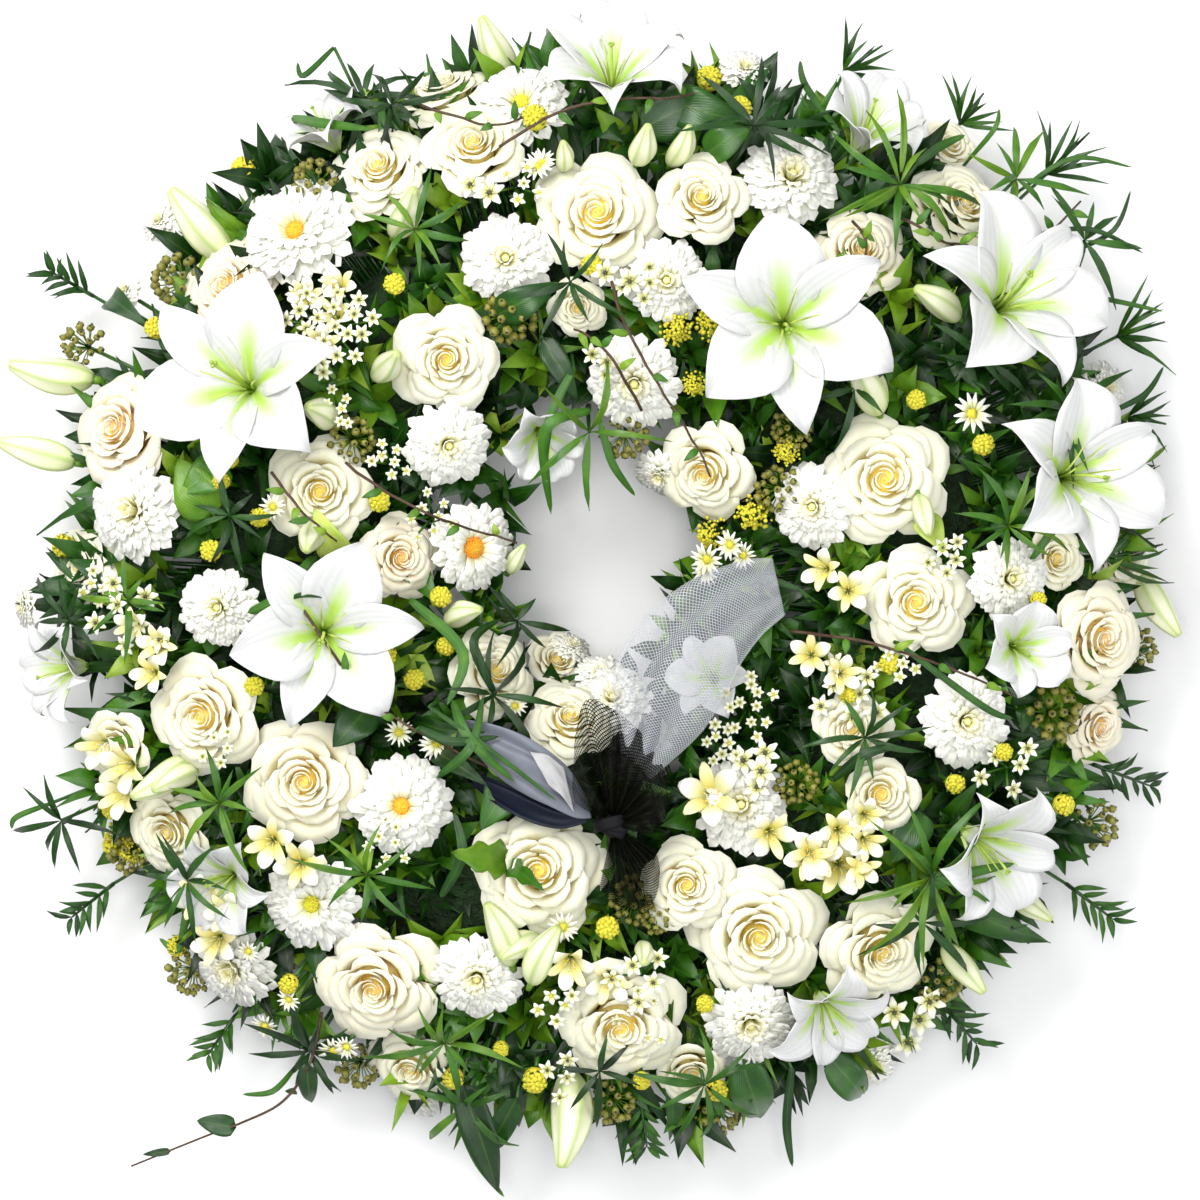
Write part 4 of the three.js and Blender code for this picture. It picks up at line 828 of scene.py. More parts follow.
class Floret(Finish):
    """The white rays of chrysanthemums, star flowers and asters, greenish cream at the foot."""

    def material(self) -> bpy.types.Material:
        """The floret material."""
        material, wiring, shader = self.start()
        veins = EFFECTS.use(wiring, "veins", Lines=3.0)
        mottle = EFFECTS.use(wiring, "mottle", Scale=140.0, Contrast=0.6)
        inward = wiring.maths("SUBTRACT", veins.outputs["Length"], 0.1)
        length = wiring.maths("MULTIPLY_ADD", mottle.outputs[0], 0.2, inward)
        white = wiring.ramp(
            length,
            [
                (0.0, (0.52, 0.54, 0.12)),
                (0.35, (0.8, 0.8, 0.46)),
                (0.62, (0.9, 0.9, 0.77)),
                (1.0, (0.93, 0.93, 0.88)),
            ],
        )
        cream = wiring.mix(self.tone_of(wiring), white, (0.93, 0.78, 0.16))
        wiring.link(cream, shader.inputs["Base Color"])
        self.raise_by(wiring, shader, veins.outputs["Line"])
        return material


class Greenery(Finish):
    """Leaves, stems and calyces: the tone runs from bottle green over leaf green to lime."""

    def material(self) -> bpy.types.Material:
        """The leaf material."""
        material, wiring, shader = self.start()
        veins = EFFECTS.use(wiring, "veins", Lines=16.0, Slant=0.7)
        mottle = EFFECTS.use(wiring, "mottle", Scale=70.0, Contrast=1.2)
        uneven = wiring.maths("SUBTRACT", mottle.outputs[0], 0.5)
        shade = wiring.maths("MULTIPLY_ADD", uneven, 0.3, self.tone_of(wiring))
        green = wiring.ramp(
            shade,
            [
                (0.0, (0.002, 0.014, 0.001)),
                (0.25, (0.008, 0.06, 0.002)),
                (0.5, (0.045, 0.17, 0.005)),
                (0.75, (0.2, 0.36, 0.012)),
                (1.0, (0.56, 0.66, 0.14)),
            ],
        )
        rib = wiring.maths("MULTIPLY", wiring.maths("POWER", veins.outputs["Middle"], 22.0), 0.22)
        wiring.link(wiring.mix(rib, green, (0.2, 0.34, 0.06)), shader.inputs["Base Color"])
        fine = wiring.maths("MULTIPLY", veins.outputs["Line"], 0.4)
        relief = wiring.maths("ADD", fine, wiring.maths("POWER", veins.outputs["Middle"], 12.0))
        self.raise_by(wiring, shader, relief)
        return material


class BudSkin(Finish):
    """Closed lily buds: cream sides between green ribs, green at the foot and the tip."""

    def material(self) -> bpy.types.Material:
        """The bud material."""
        material, wiring, shader = self.start()
        place = wiring.add("ShaderNodeTexCoord")
        split = wiring.add("ShaderNodeSeparateXYZ")
        wiring.link(place.outputs["UV"], split.inputs[0])
        wave = wiring.maths("COSINE", wiring.maths("MULTIPLY", split.outputs[0], math.tau * 6))
        rib = wiring.maths("POWER", wiring.maths("MULTIPLY_ADD", wave, 0.5, 0.5), 3.0)
        sides = wiring.ramp(
            split.outputs[1],
            [
                (0.0, (0.3, 0.42, 0.1)),
                (0.3, (0.74, 0.78, 0.46)),
                (0.65, (0.88, 0.88, 0.66)),
                (1.0, (0.5, 0.6, 0.2)),
            ],
        )
        ribbed = wiring.mix(wiring.maths("MULTIPLY", rib, 0.75), sides, (0.36, 0.5, 0.12))
        wiring.link(wiring.mix(self.tone_of(wiring), ribbed, (0.3, 0.42, 0.05)), shader.inputs["Base Color"])
        self.raise_by(wiring, shader, rib)
        return material


class Pollen(Finish):
    """Yellow buttons, goldenrod and the middles of flowers; a higher tone is orange."""

    def material(self) -> bpy.types.Material:
        """The yellow material."""
        material, wiring, shader = self.start()
        mottle = EFFECTS.use(wiring, "mottle", Scale=420.0, Contrast=1.6)
        lemon = wiring.mix(mottle.outputs[0], (0.46, 0.5, 0.015), (0.9, 0.84, 0.07))
        wiring.link(wiring.mix(self.tone_of(wiring), lemon, (0.85, 0.28, 0.01)), shader.inputs["Base Color"])
        self.raise_by(wiring, shader, mottle.outputs[0], 0.0008)
        return material


class BerrySkin(Finish):
    """Unripe ivy berries and the dark ovaries of star flowers; a higher tone is near black."""

    def material(self) -> bpy.types.Material:
        """The berry material."""
        material, wiring, shader = self.start()
        mottle = EFFECTS.use(wiring, "mottle", Scale=260.0, Contrast=1.4)
        olive = wiring.mix(mottle.outputs[0], (0.09, 0.1, 0.01), (0.34, 0.31, 0.05))
        dark = wiring.mix(self.tone_of(wiring), olive, (0.015, 0.02, 0.012))
        wiring.link(dark, shader.inputs["Base Color"])
        self.raise_by(wiring, shader, mottle.outputs[0])
        return material


class Bark(Finish):
    """Thin brown stems."""

    def material(self) -> bpy.types.Material:
        """The bark material."""
        material, wiring, shader = self.start()
        mottle = EFFECTS.use(wiring, "mottle", Scale=500.0, Contrast=1.5)
        brown = wiring.mix(mottle.outputs[0], (0.035, 0.018, 0.01), (0.12, 0.06, 0.03))
        wiring.link(brown, shader.inputs["Base Color"])
        self.raise_by(wiring, shader, mottle.outputs[0])
        return material


class UndergrowthWithPaintedShade(Finish):
    """The dense growth between the leaves, dark green to near black: partly the foliage's own colour, partly
    painted shade of the deep gaps.
    """

    def material(self) -> bpy.types.Material:
        """The undergrowth material with painted shade."""
        material, wiring, shader = self.start()
        mottle = EFFECTS.use(wiring, "mottle", Scale=160.0, Contrast=2.0)
        # Painted shade: the near black green stands for the shadow deep in the gaps as well as for dark
        # foliage.
        deep = wiring.mix(mottle.outputs[0], (0.004, 0.012, 0.003), (0.02, 0.06, 0.012))
        wiring.link(deep, shader.inputs["Base Color"])
        self.raise_by(wiring, shader, mottle.outputs[0], 0.004)
        return material


@dataclass(frozen=True)
class Solid(Finish):
    """Moulded plastic or foam: two close colours in patches, with pores."""

    low: Colour = (0.01, 0.03, 0.01)
    high: Colour = (0.02, 0.05, 0.02)
    scale: float = 300.0

    def material(self) -> bpy.types.Material:
        """The material of the tray or the foam."""
        material, wiring, shader = self.start()
        mottle = EFFECTS.use(wiring, "mottle", Scale=self.scale, Contrast=1.6)
        wiring.link(wiring.mix(mottle.outputs[0], self.low, self.high), shader.inputs["Base Color"])
        self.raise_by(wiring, shader, mottle.outputs[0])
        return material


@dataclass(frozen=True)
class Net(Finish):
    """Net cloth: threads on the bias with open holes, and painted sheen in lighter patches."""

    colour: Colour = (0.01, 0.01, 0.012)
    cut: tuple[float, float] = (0.1, 0.1)
    pitch: float = 0.0022
    thread: float = 0.3
    veil: float = 0.0
    gathered: float = 0.0

    def material(self) -> bpy.types.Material:
        """The net material."""
        material, wiring, shader = self.start()
        net = EFFECTS.use(wiring, "net", Width=self.cut[0], Height=self.cut[1], Pitch=self.pitch)
        place = wiring.add("ShaderNodeTexCoord")
        split = wiring.add("ShaderNodeSeparateXYZ")
        wiring.link(place.outputs["UV"], split.inputs[0])
        near = wiring.maths("POWER", wiring.maths("SUBTRACT", 1.0, split.outputs[1]), 1.6)
        crowd = wiring.maths("MULTIPLY", near, self.gathered)
        wiring.link(wiring.maths("ADD", crowd, self.thread), net.inputs["Thread"])
        mottle = EFFECTS.use(wiring, "mottle", Scale=120.0, Contrast=1.0)
        # Painted sheen: patches of a lighter copy of the colour, spread at random, stand for light catching
        # the net.
        lit = tuple(min(1.0, c * 1.4) for c in self.colour)
        wiring.link(wiring.mix(mottle.outputs[0], self.colour, lit), shader.inputs["Base Color"])
        haze = wiring.maths("MULTIPLY_ADD", crowd, 0.5, self.veil)
        cover = wiring.maths("MULTIPLY_ADD", net.outputs["Thread"], 1.0 - self.veil, haze)
        wiring.link(wiring.maths("MINIMUM", cover, 1.0), shader.inputs["Alpha"])
        shader.inputs["Specular IOR Level"].default_value = 0.1
        material.surface_render_method = "DITHERED"
        return material


@dataclass(frozen=True)
class Satin(Finish):
    """Satin ribbon with fine ribs across it, and painted sheen in lighter patches."""

    colour: Colour = (0.2, 0.25, 0.34)

    def material(self) -> bpy.types.Material:
        """The satin material."""
        material, wiring, shader = self.start()
        place = wiring.add("ShaderNodeTexCoord")
        split = wiring.add("ShaderNodeSeparateXYZ")
        wiring.link(place.outputs["UV"], split.inputs[0])
        rib = wiring.maths("SINE", wiring.maths("MULTIPLY", split.outputs[1], 900.0))
        mottle = EFFECTS.use(wiring, "mottle", Scale=50.0, Contrast=1.2)
        # Painted sheen: patches of a lighter copy of the colour, spread at random, stand for the sheen of the
        # satin.
        lit = tuple(min(1.0, c * 1.9) for c in self.colour)
        wiring.link(wiring.mix(mottle.outputs[0], self.colour, lit), shader.inputs["Base Color"])
        self.raise_by(wiring, shader, rib, 0.0001)
        shader.inputs["Specular IOR Level"].default_value = 0.3
        return material


class Slot(Enum):
    """The finishes that a plant piece may wear."""

    ROSE = 0
    LILY = 1
    FLORET = 2
    GREEN = 3
    BUD = 4
    POLLEN = 5
    BERRY = 6
    BARK = 7
    UNDERGROWTH_WITH_PAINTED_SHADE = 8


PLANT_FINISHES: dict[Slot, Finish] = {
    Slot.ROSE: RosePetal("rose_petal", 0.6, bump=0.1, glow=0.25),
    Slot.LILY: LilyPetal("lily_petal", 0.45, bump=0.2, glow=0.15),
    Slot.FLORET: Floret("white_floret", 0.6, bump=0.2),
    Slot.GREEN: Greenery("leaf_and_stem", 0.38, bump=0.5, coat=0.1),
    Slot.BUD: BudSkin("lily_bud", 0.45, bump=0.4),
    Slot.POLLEN: Pollen("yellow_floret", 0.7, bump=0.7),
    Slot.BERRY: BerrySkin("ivy_berry", 0.45, bump=0.3),
    Slot.BARK: Bark("brown_stem", 0.6, bump=0.5),
    Slot.UNDERGROWTH_WITH_PAINTED_SHADE: UndergrowthWithPaintedShade("undergrowth_with_painted_shade", 0.9, bump=1.0),
}


# Meshes in the making

OWN_TONE = -1.0
UP = Vector((0.0, 0.0, 1.0))


@dataclass
class Growth:
    """A mesh in the making, with the UV map and the tone that the finishes read."""

    mesh: bmesh.types.BMesh = field(default_factory=bmesh.new)

    def __post_init__(self) -> None:
        self.uv = self.mesh.loops.layers.uv.new("UVMap")
        self.tone = self.mesh.verts.layers.float.new("tone")

    def dress(self, verts: Sequence[bmesh.types.BMVert], slot: int, tone: float, even: bool = True) -> None:
        """Gives new vertices their tone, and their faces a finish and smooth shading."""
        for vert in verts:
            vert[self.tone] = tone
            for face in vert.link_faces:
                face.material_index = slot
                face.smooth = even

    def sheet(
        self,
        across: int,
        along_it: int,
        place: Place,
        thick: float,
        slot: Slot | int,
        tone: float = OWN_TONE,
    ) -> None:
        """A thin curved sheet: a petal, a leaf or a length of ribbon.

        Args:
            across, along_it: Its faces each way.
            place: Where a point lies, from -1 to 1 across and 0 to 1 along.
            thick: Its thickness.
            slot: The finish.
            tone: The tone, or OWN_TONE for that of the plant it stands on.
        """
        number = slot.value if isinstance(slot, Slot) else slot
        made = bmesh.ops.create_grid(
            self.mesh, x_segments=across, y_segments=along_it, size=0.5, calc_uvs=True
        )["verts"]
        for vert in made:
            vert.co = place(vert.co.x * 2.0, vert.co.y + 0.5)
        self.dress(made, number, tone)
        faces = list({face for vert in made for face in vert.link_faces})
        bmesh.ops.solidify(self.mesh, geom=faces, thickness=thick)

    def tube(
        self,
        path: Sequence[Vector],
        radii: Sequence[float],
        slot: Slot,
        tone: float = OWN_TONE,
        sides: int = 5,
    ) -> None:
        """A round stem along a path, each point with its radius, closed at both ends."""
        ring = bmesh.ops.create_circle(self.mesh, cap_ends=True, segments=sides, radius=1.0)["verts"]
        cap = ring[0].link_faces[0]
        made = list(ring)
        for i, (point, radius) in enumerate(zip(path, radii)):
            if i:
                cap = self.push(cap)
                made += list(cap.verts)
            ahead = path[min(i + 1, len(path) - 1)] - path[max(i - 1, 0)]
            turn = ahead.to_track_quat("Z", "Y").to_matrix()
            for k, vert in enumerate(cap.verts):
                angle = math.tau * k / sides
                vert.co = point + turn @ Vector((math.cos(angle) * radius, math.sin(angle) * radius, 0.0))
        self.dress(made, slot.value, tone)

    def push(self, cap: bmesh.types.BMFace) -> bmesh.types.BMFace:
        """Extrudes a cap by one step and returns the new cap."""
        made = bmesh.ops.extrude_face_region(self.mesh, geom=[cap])["geom"]
        return next(item for item in made if isinstance(item, bmesh.types.BMFace))

    def stick(
        self,
        start: Vector,
        end: Vector,
        low: float,
        high: float,
        slot: Slot,
        tone: float = OWN_TONE,
        sides: int = 4,
    ) -> None:
        """A straight tapered stalk."""
        way = end - start
        turn = way.to_track_quat("Z", "Y").to_matrix().to_4x4()
        made = bmesh.ops.create_cone(
            self.mesh,
            cap_ends=True,
            cap_tris=False,
            segments=sides,
            radius1=low,
            radius2=high,
            depth=way.length,
            matrix=Matrix.Translation((start + end) / 2.0) @ turn,
            calc_uvs=True,
        )["verts"]
        self.dress(made, slot.value, tone)

    def ball(
        self,
        at: Vector,
        radius: float,
        slot: Slot | int,
        tone: float = OWN_TONE,
        fine: int = 1,
        rough: float = 0.0,
    ) -> list[bmesh.types.BMVert]:
        """A ball, with an uneven skin where rough is over 0."""
        made = bmesh.ops.create_icosphere(
            self.mesh, subdivisions=fine, radius=radius, matrix=Matrix.Translation(at), calc_uvs=True
        )["verts"]
        if rough:
            for vert in made:
                out = (vert.co - at).normalized()
                vert.co += out * radius * rough * noise.noise(out * 7.0 + at)
        self.dress(made, slot.value if isinstance(slot, Slot) else slot, tone)
        return made

    def plant(self, template: Template, matrix: Matrix, tone: float = 0.0) -> None:
        """Adds a copy of a template at a place, in a tone."""
        template.add_to(self.mesh, matrix, tone)

    def finish(self) -> None:
        """Turns every face outward."""
        bmesh.ops.recalc_face_normals(self.mesh, faces=self.mesh.faces)


@dataclass
class Template:
    """A finished plant part in its own frame, ready to be placed many times."""

    name: str
    growth: Growth
    mesh: bpy.types.Mesh | None = None
    tones: list[float] = field(default_factory=list)

    def __post_init__(self) -> None:
        self.growth.finish()
        self.mesh = bpy.data.meshes.new(f"template_{self.name}")
        self.growth.mesh.to_mesh(self.mesh)
        self.growth.mesh.free()
        self.tones = [item.value for item in self.mesh.attributes["tone"].data]

    def add_to(self, target: bmesh.types.BMesh, matrix: Matrix, tone: float) -> None:
        """Adds a copy to a mesh in the making."""
        copy = self.mesh.copy()
        copy.attributes["tone"].data.foreach_set("value", [tone if own < 0.0 else own for own in self.tones])
        copy.transform(matrix)
        target.from_mesh(copy)
        bpy.data.meshes.remove(copy)

    def discard(self) -> None:
        """Removes the template's mesh."""
        bpy.data.meshes.remove(self.mesh)


def polar(radius: float, angle: float, z: float) -> Vector:
    """A point at a radius and an angle in radians."""
    return Vector((radius * math.cos(angle), radius * math.sin(angle), z))


# Flowers


@dataclass(frozen=True)
class PetalRing:
    """One ring of rose petals, in shares of the rose's width."""

    rim: float
    rim_height: float
    low_height: float
    half_angle: float
    count: int
    roll: float


ROSE_RINGS: tuple[PetalRing, ...] = (
    PetalRing(0.035, -0.015, -0.45, 110, 2, 0.0),
    PetalRing(0.075, -0.01, -0.45, 80, 3, 0.006),
    PetalRing(0.125, 0.0, -0.5, 66, 3, 0.01),
    PetalRing(0.185, 0.0, -0.52, 58, 4, 0.02),
    PetalRing(0.255, -0.02, -0.55, 50, 4, 0.035),
    PetalRing(0.335, -0.06, -0.58, 46, 5, 0.05),
    PetalRing(0.415, -0.12, -0.6, 43, 5, 0.06),
    PetalRing(0.485, -0.2, -0.62, 41, 5, 0.06),
)


@dataclass(frozen=True)
class RoseForm:
    """A rose of width 1 with its face at height 0: spiral petals over a green calyx."""

    seed: int
    openness: float

    def build(self) -> Growth:
        """The rose's mesh."""
        growth, rng = Growth(), random.Random(self.seed)
        rings = ROSE_RINGS[: 8 if self.openness >= 0.98 else 7 if self.openness >= 0.84 else 6]
        widen = 0.485 / rings[-1].rim
        heading = rng.uniform(0.0, math.tau)
        for i, ring in enumerate(rings):
            heading += 1.1
            for k in range(ring.count):
                turn = heading + math.tau * (k + rng.uniform(-0.12, 0.12)) / ring.count
                rim = ring.rim * widen * rng.uniform(0.95, 1.05)
                self.petal(growth, ring, turn, rim, i / (len(rings) - 1), rng)
        growth.ball(Vector((0.0, 0.0, -0.3)), 0.2, Slot.ROSE, OWN_TONE, 2)
        growth.tube(
            [Vector((0.0, 0.0, z)) for z in (-0.3, -0.12, -0.05)], (0.19, 0.12, 0.02), Slot.ROSE, OWN_TONE, 10
        )
        self.calyx(growth, rng)
        return growth

    def petal(
        self, growth: Growth, ring: PetalRing, heading: float, rim: float, outer: float, rng: random.Random
    ) -> None:
        """One petal: a curved blade that cups the heart and rolls back at its rim."""
        half = math.radians(ring.half_angle) * rng.uniform(0.94, 1.08)
        lift = rng.uniform(-0.02, 0.015) * (0.4 + outer)
        roll = ring.roll * rng.uniform(0.6, 1.5)
        waves = rng.uniform(0.0, 9.0)
        point = rng.uniform(0.4, 1.0) * 0.03 * outer

        def place(u: float, v: float) -> Vector:
            rounded = v * (1.0 - (0.1 + 0.16 * outer) * u * u * u * u)
            spread = half * u * (0.5 + 0.5 * math.sin(min(1.0, rounded * 1.25) * math.pi / 2.0))
            if outer < 0.3:
                bowl = 0.55 + 0.45 * rounded
            else:
                bowl = blend(outer, 0.6, 0.3) + blend(outer, 0.4, 0.7) * rounded**1.1
            radius = rim * bowl + 0.016 * u * (0.4 + rounded) * (1.0 if outer < 0.6 else 1.6)
            climb = ring.rim_height + lift - ring.low_height
            height = ring.low_height + climb * (1.0 - (1.0 - rounded) ** 1.7)
            over = max(0.0, (rounded - 0.74) / 0.26)
            radius += roll * over * over * (1.0 - 0.4 * abs(u)) + point * over * (1.0 - abs(u)) ** 2
            height -= roll * 1.1 * over**3
            height += 0.012 * outer * math.sin(u * 5.0 + waves) * over
            return polar(radius, heading + spread, height)

        growth.sheet(6, 6, place, 0.006, Slot.ROSE)

    def calyx(self, growth: Growth, rng: random.Random) -> None:
        """Five sepals under the petals and the swollen foot of the flower."""
        growth.ball(Vector((0.0, 0.0, -0.6)), 0.085, Slot.GREEN, 0.45, 2)
        for k in range(5):
            heading = math.tau * k / 5 + rng.uniform(-0.2, 0.2)

            def sepal(u: float, v: float, heading: float = heading) -> Vector:
                width = 0.045 * math.sin(math.pi * min(1.0, 0.25 + 0.75 * v)) ** 0.8
                reach = 0.07 + 0.3 * v
                at = polar(reach, heading, -0.58 + 0.1 * v - 0.12 * v * v)
                return at + polar(width * u, heading + math.pi / 2.0, 0.012 * abs(u))

            growth.sheet(2, 5, sepal, 0.008, Slot.GREEN, 0.5)


@dataclass(frozen=True)
class MumForm:
    """A chrysanthemum of width 1: rings of strap florets round a middle."""

    seed: int
    middle: int = 0

    def build(self) -> Growth:
        """The flower's mesh."""
        growth, rng = Growth(), random.Random(self.seed)
        counts = (22, 21, 19, 17, 14, 10, 7)
        shown = len(counts) if self.middle == 0 else 5 if self.middle < 3 else 4
        for i in range(shown):
            tip = 0.5 * (1.0 - (i / 7.0) ** 1.25) * (1.0 if self.middle == 0 else 1.0 - 0.02 * i)
            for k in range(counts[i]):
                heading = math.tau * (k + 0.5 * (i % 2) + rng.uniform(-0.28, 0.28)) / counts[i]
                self.floret(growth, heading, tip * rng.uniform(0.9, 1.04), i / 6.0, rng)
        if self.middle == 0:
            growth.ball(Vector((0.0, 0.0, -0.09)), 0.05, Slot.FLORET, 0.3, 1)
        else:
            self.disc(growth, rng)
        growth.stick(Vector((0.0, 0.0, -0.42)), Vector((0.0, 0.0, -0.27)), 0.04, 0.16, Slot.GREEN, 0.4, 10)
        return growth

    def floret(self, growth: Growth, heading: float, tip: float, inner: float, rng: random.Random) -> None:
        """One strap floret, curving up and out from the middle."""
        high = blend(inner**0.75, -0.2, 0.02) + rng.uniform(-0.03, 0.03)
        curl = rng.uniform(-0.02, 0.05) * (1.0 - inner)
        width = blend(inner, 0.084, 0.042) * rng.uniform(0.88, 1.1)
        bend = rng.uniform(-0.1, 0.1)

        def place(u: float, v: float) -> Vector:
            reach = 0.03 + (tip - 0.03) * (v**1.15 - 0.09 * u * u * v**4)
            rise = -0.28 + (high + 0.28) * math.sin(min(1.0, v * 1.15) * math.pi / 2.0) - curl * v**4
            narrow = 0.4 + 0.75 * v if v < 0.8 else 0.74
            side = polar(width * u * narrow, heading + math.pi / 2.0, 0.42 * width * (u * u - 0.3))
            return polar(reach, heading + bend * v * v, rise) + side

        growth.sheet(2, 3, place, 0.008, Slot.FLORET, 0.0 if inner < 0.75 else 0.2)

    def disc(self, growth: Growth, rng: random.Random) -> None:
        """The domed middle of an open flower, made of many tiny florets."""
        reach = (0.0, 0.088, 0.095, 0.12)[self.middle]
        tone = (0.0, 0.75, 0.1, 0.9)[self.middle]
        growth.ball(Vector((0.0, 0.0, -0.2)), reach * 0.95, Slot.POLLEN, tone, 2)
        count = (0, 60, 50, 90)[self.middle]
        for k in range(count):
            share = math.sqrt((k + 0.5) / count)
            angle = k * 2.39996
            shade = min(1.0, tone * blend(share, 0.55, 1.15) + rng.uniform(-0.1, 0.1))
            dome = math.sqrt(max(0.03, 1.0 - share * share))
            at = polar(reach * share, angle, -0.2 + reach * 0.95 * dome * 0.95)
            growth.ball(at, 0.019 * rng.uniform(0.8, 1.2), Slot.POLLEN, max(0.0, shade), 1)


@dataclass(frozen=True)
class LilyForm:
    """A lily of half width 1: six tepals round a green throat, its anthers cut away."""

    seed: int
    cup: float

    def build(self) -> Growth:
        """The lily's mesh."""
        growth, rng = Growth(), random.Random(self.seed)
        for k in range(6):
            broad = k % 2 == 1
            heading = math.tau * k / 6 + rng.uniform(-0.09, 0.09)
            self.tepal(growth, heading, broad, rng)
        self.heart(growth, rng)
        return growth

    def tepal(self, growth: Growth, heading: float, broad: bool, rng: random.Random) -> None:
        """One of the six tepals; three of them are broad and lie above the others."""
        width = (0.33 if broad else 0.225) * rng.uniform(0.93, 1.07)
        reach = rng.uniform(0.93, 1.03)
        curl = rng.uniform(0.05, 0.2)
        twist = rng.uniform(-0.16, 0.16)
        ruffle = rng.uniform(0.0, 6.0)
        path = [
            (0.02, -0.58), (0.1, -0.4), (0.24, -0.22), (0.5, -0.05), (0.78, 0.03),
            (0.95, 0.0 - curl * 0.3),
            (1.02, -0.03 - curl * 0.8),
        ]

        def place(u: float, v: float) -> Vector:
            out, rise = along(path, v)
            out = out * reach * (1.0 - self.cup * 0.34 * out)
            rise = rise + self.cup * out * 0.5 + (0.014 if broad else -0.012)
            share = min(1.0, max(0.0, along(path, v)[0] / 1.02))
            swell = max(0.0, math.sin(math.pi * share**0.86)) ** 0.86
            half = width * (0.1 * (1.0 - share) + 0.008 + 1.12 * swell)
            side = u * half
            groove = 0.055 * (1.0 - abs(u)) ** 3 * math.sin(math.pi * min(1.0, v * 1.1))
            fold = 0.1 * abs(u) ** 1.6 * math.sin(math.pi * v) - groove
            wave = 0.03 * u * u * math.sin(v * 13.0 + ruffle + 2.0 * u) * math.sin(math.pi * v)
            at = polar(out, heading + twist * v * v * 0.4, rise + fold + wave)
            return at + polar(side, heading + math.pi / 2.0 + twist * v, 0.0)

        growth.sheet(8, 14, place, 0.012, Slot.LILY)

    def heart(self, growth: Growth, rng: random.Random) -> None:
        """The filaments, the style with its stigma, and the foot of the flower."""
        for k in range(6):
            heading = math.tau * (k + 0.5) / 6 + rng.uniform(-0.1, 0.1)
            spread = 0.24 * (1.0 - 0.4 * self.cup)
            path = [polar(0.03 + spread * t**1.4, heading, -0.5 + 0.66 * t) for t in (0.0, 0.35, 0.7, 1.0)]
            growth.tube(path, (0.012, 0.011, 0.009, 0.007), Slot.GREEN, 0.95, 5)
        lean = rng.uniform(0.0, math.tau)
        style = [polar(0.12 * t * t, lean, -0.5 + 0.8 * t) for t in (0.0, 0.3, 0.6, 0.85, 1.0)]
        growth.tube(style, (0.02, 0.017, 0.015, 0.016, 0.02), Slot.GREEN, 0.9, 6)
        for k in range(3):
            growth.ball(style[-1] + polar(0.022, lean + k * math.tau / 3, 0.008), 0.024, Slot.GREEN, 0.82, 1)
        growth.stick(Vector((0.0, 0.0, -0.66)), Vector((0.0, 0.0, -0.52)), 0.035, 0.05, Slot.GREEN, 0.6, 8)


@dataclass(frozen=True)
class BudForm:
    """A closed lily bud of length 1 with its middle at height 0: six ribs and a curved body."""

    seed: int

    def build(self) -> Growth:
        """The bud's mesh."""
        growth, rng = Growth(), random.Random(self.seed)
        made = bmesh.ops.create_uvsphere(
            growth.mesh, u_segments=24, v_segments=14, radius=0.5, calc_uvs=True
        )["verts"]
        bow = rng.uniform(0.03, 0.08)
        for vert in made:
            share = vert.co.z + 0.5
            angle = math.atan2(vert.co.y, vert.co.x)
            girth = 0.36 * math.sin(math.pi * share**0.85) ** 0.75 * (1.0 - 0.35 * share)
            ribbed = 1.0 + 0.09 * math.cos(6.0 * angle) * math.sin(math.pi * share)
            flat = Vector((vert.co.x, vert.co.y, 0.0))
            radius = 0.0 if flat.length < 1e-6 else (0.05 + girth * 0.5) * ribbed
            side = flat.normalized() * radius if radius else Vector()
            vert.co = side + Vector((bow * math.sin(math.pi * share), 0.0, vert.co.z))
        growth.dress(made, Slot.BUD.value, OWN_TONE)
        growth.stick(Vector((0.0, 0.0, -0.62)), Vector((0.0, 0.0, -0.46)), 0.04, 0.06, Slot.GREEN, 0.6, 8)
        return growth


@dataclass(frozen=True)
class ButtonForm:
    """A closed yellow flower of width 1: a tight ball of florets in a green collar."""

    seed: int

    def build(self) -> Growth:
        """The button's mesh."""
        growth, rng = Growth(), random.Random(self.seed)
        growth.ball(Vector((0.0, 0.0, -0.32)), 0.42, Slot.POLLEN, 0.12, 2)
        for k in range(22):
            share = math.sqrt((k + 0.5) / 22.0)
            angle = k * 2.39996
            tilt = share * 1.25

            def place(u: float, v: float, angle: float = angle, tilt: float = tilt) -> Vector:
                swing = tilt * (1.0 - 0.25 * v)
                radius = 0.4 + 0.1 * math.sin(math.pi * v)
                lean = swing + 0.3 - 0.5 * v
                at = polar(radius * math.sin(lean), angle, -0.32 + radius * math.cos(lean))
                return at + polar(0.09 * u * math.sin(math.pi * (0.15 + 0.7 * v)), angle + math.pi / 2.0, 0.0)

            growth.sheet(1, 2, place, 0.03, Slot.POLLEN, rng.uniform(0.0, 0.16))
        for k in range(6):
            heading = math.tau * k / 6 + rng.uniform(-0.2, 0.2)

            def collar(u: float, v: float, heading: float = heading) -> Vector:
                at = polar(0.16 + 0.34 * v, heading, -0.74 + 0.36 * v)
                return at + polar(0.1 * u * (1.0 - v * v), heading + math.pi / 2.0, 0.0)

            growth.sheet(1, 2, collar, 0.03, Slot.GREEN, 0.6)
        growth.stick(Vector((0.0, 0.0, -0.9)), Vector((0.0, 0.0, -0.66)), 0.06, 0.2, Slot.GREEN, 0.5, 6)
        return growth


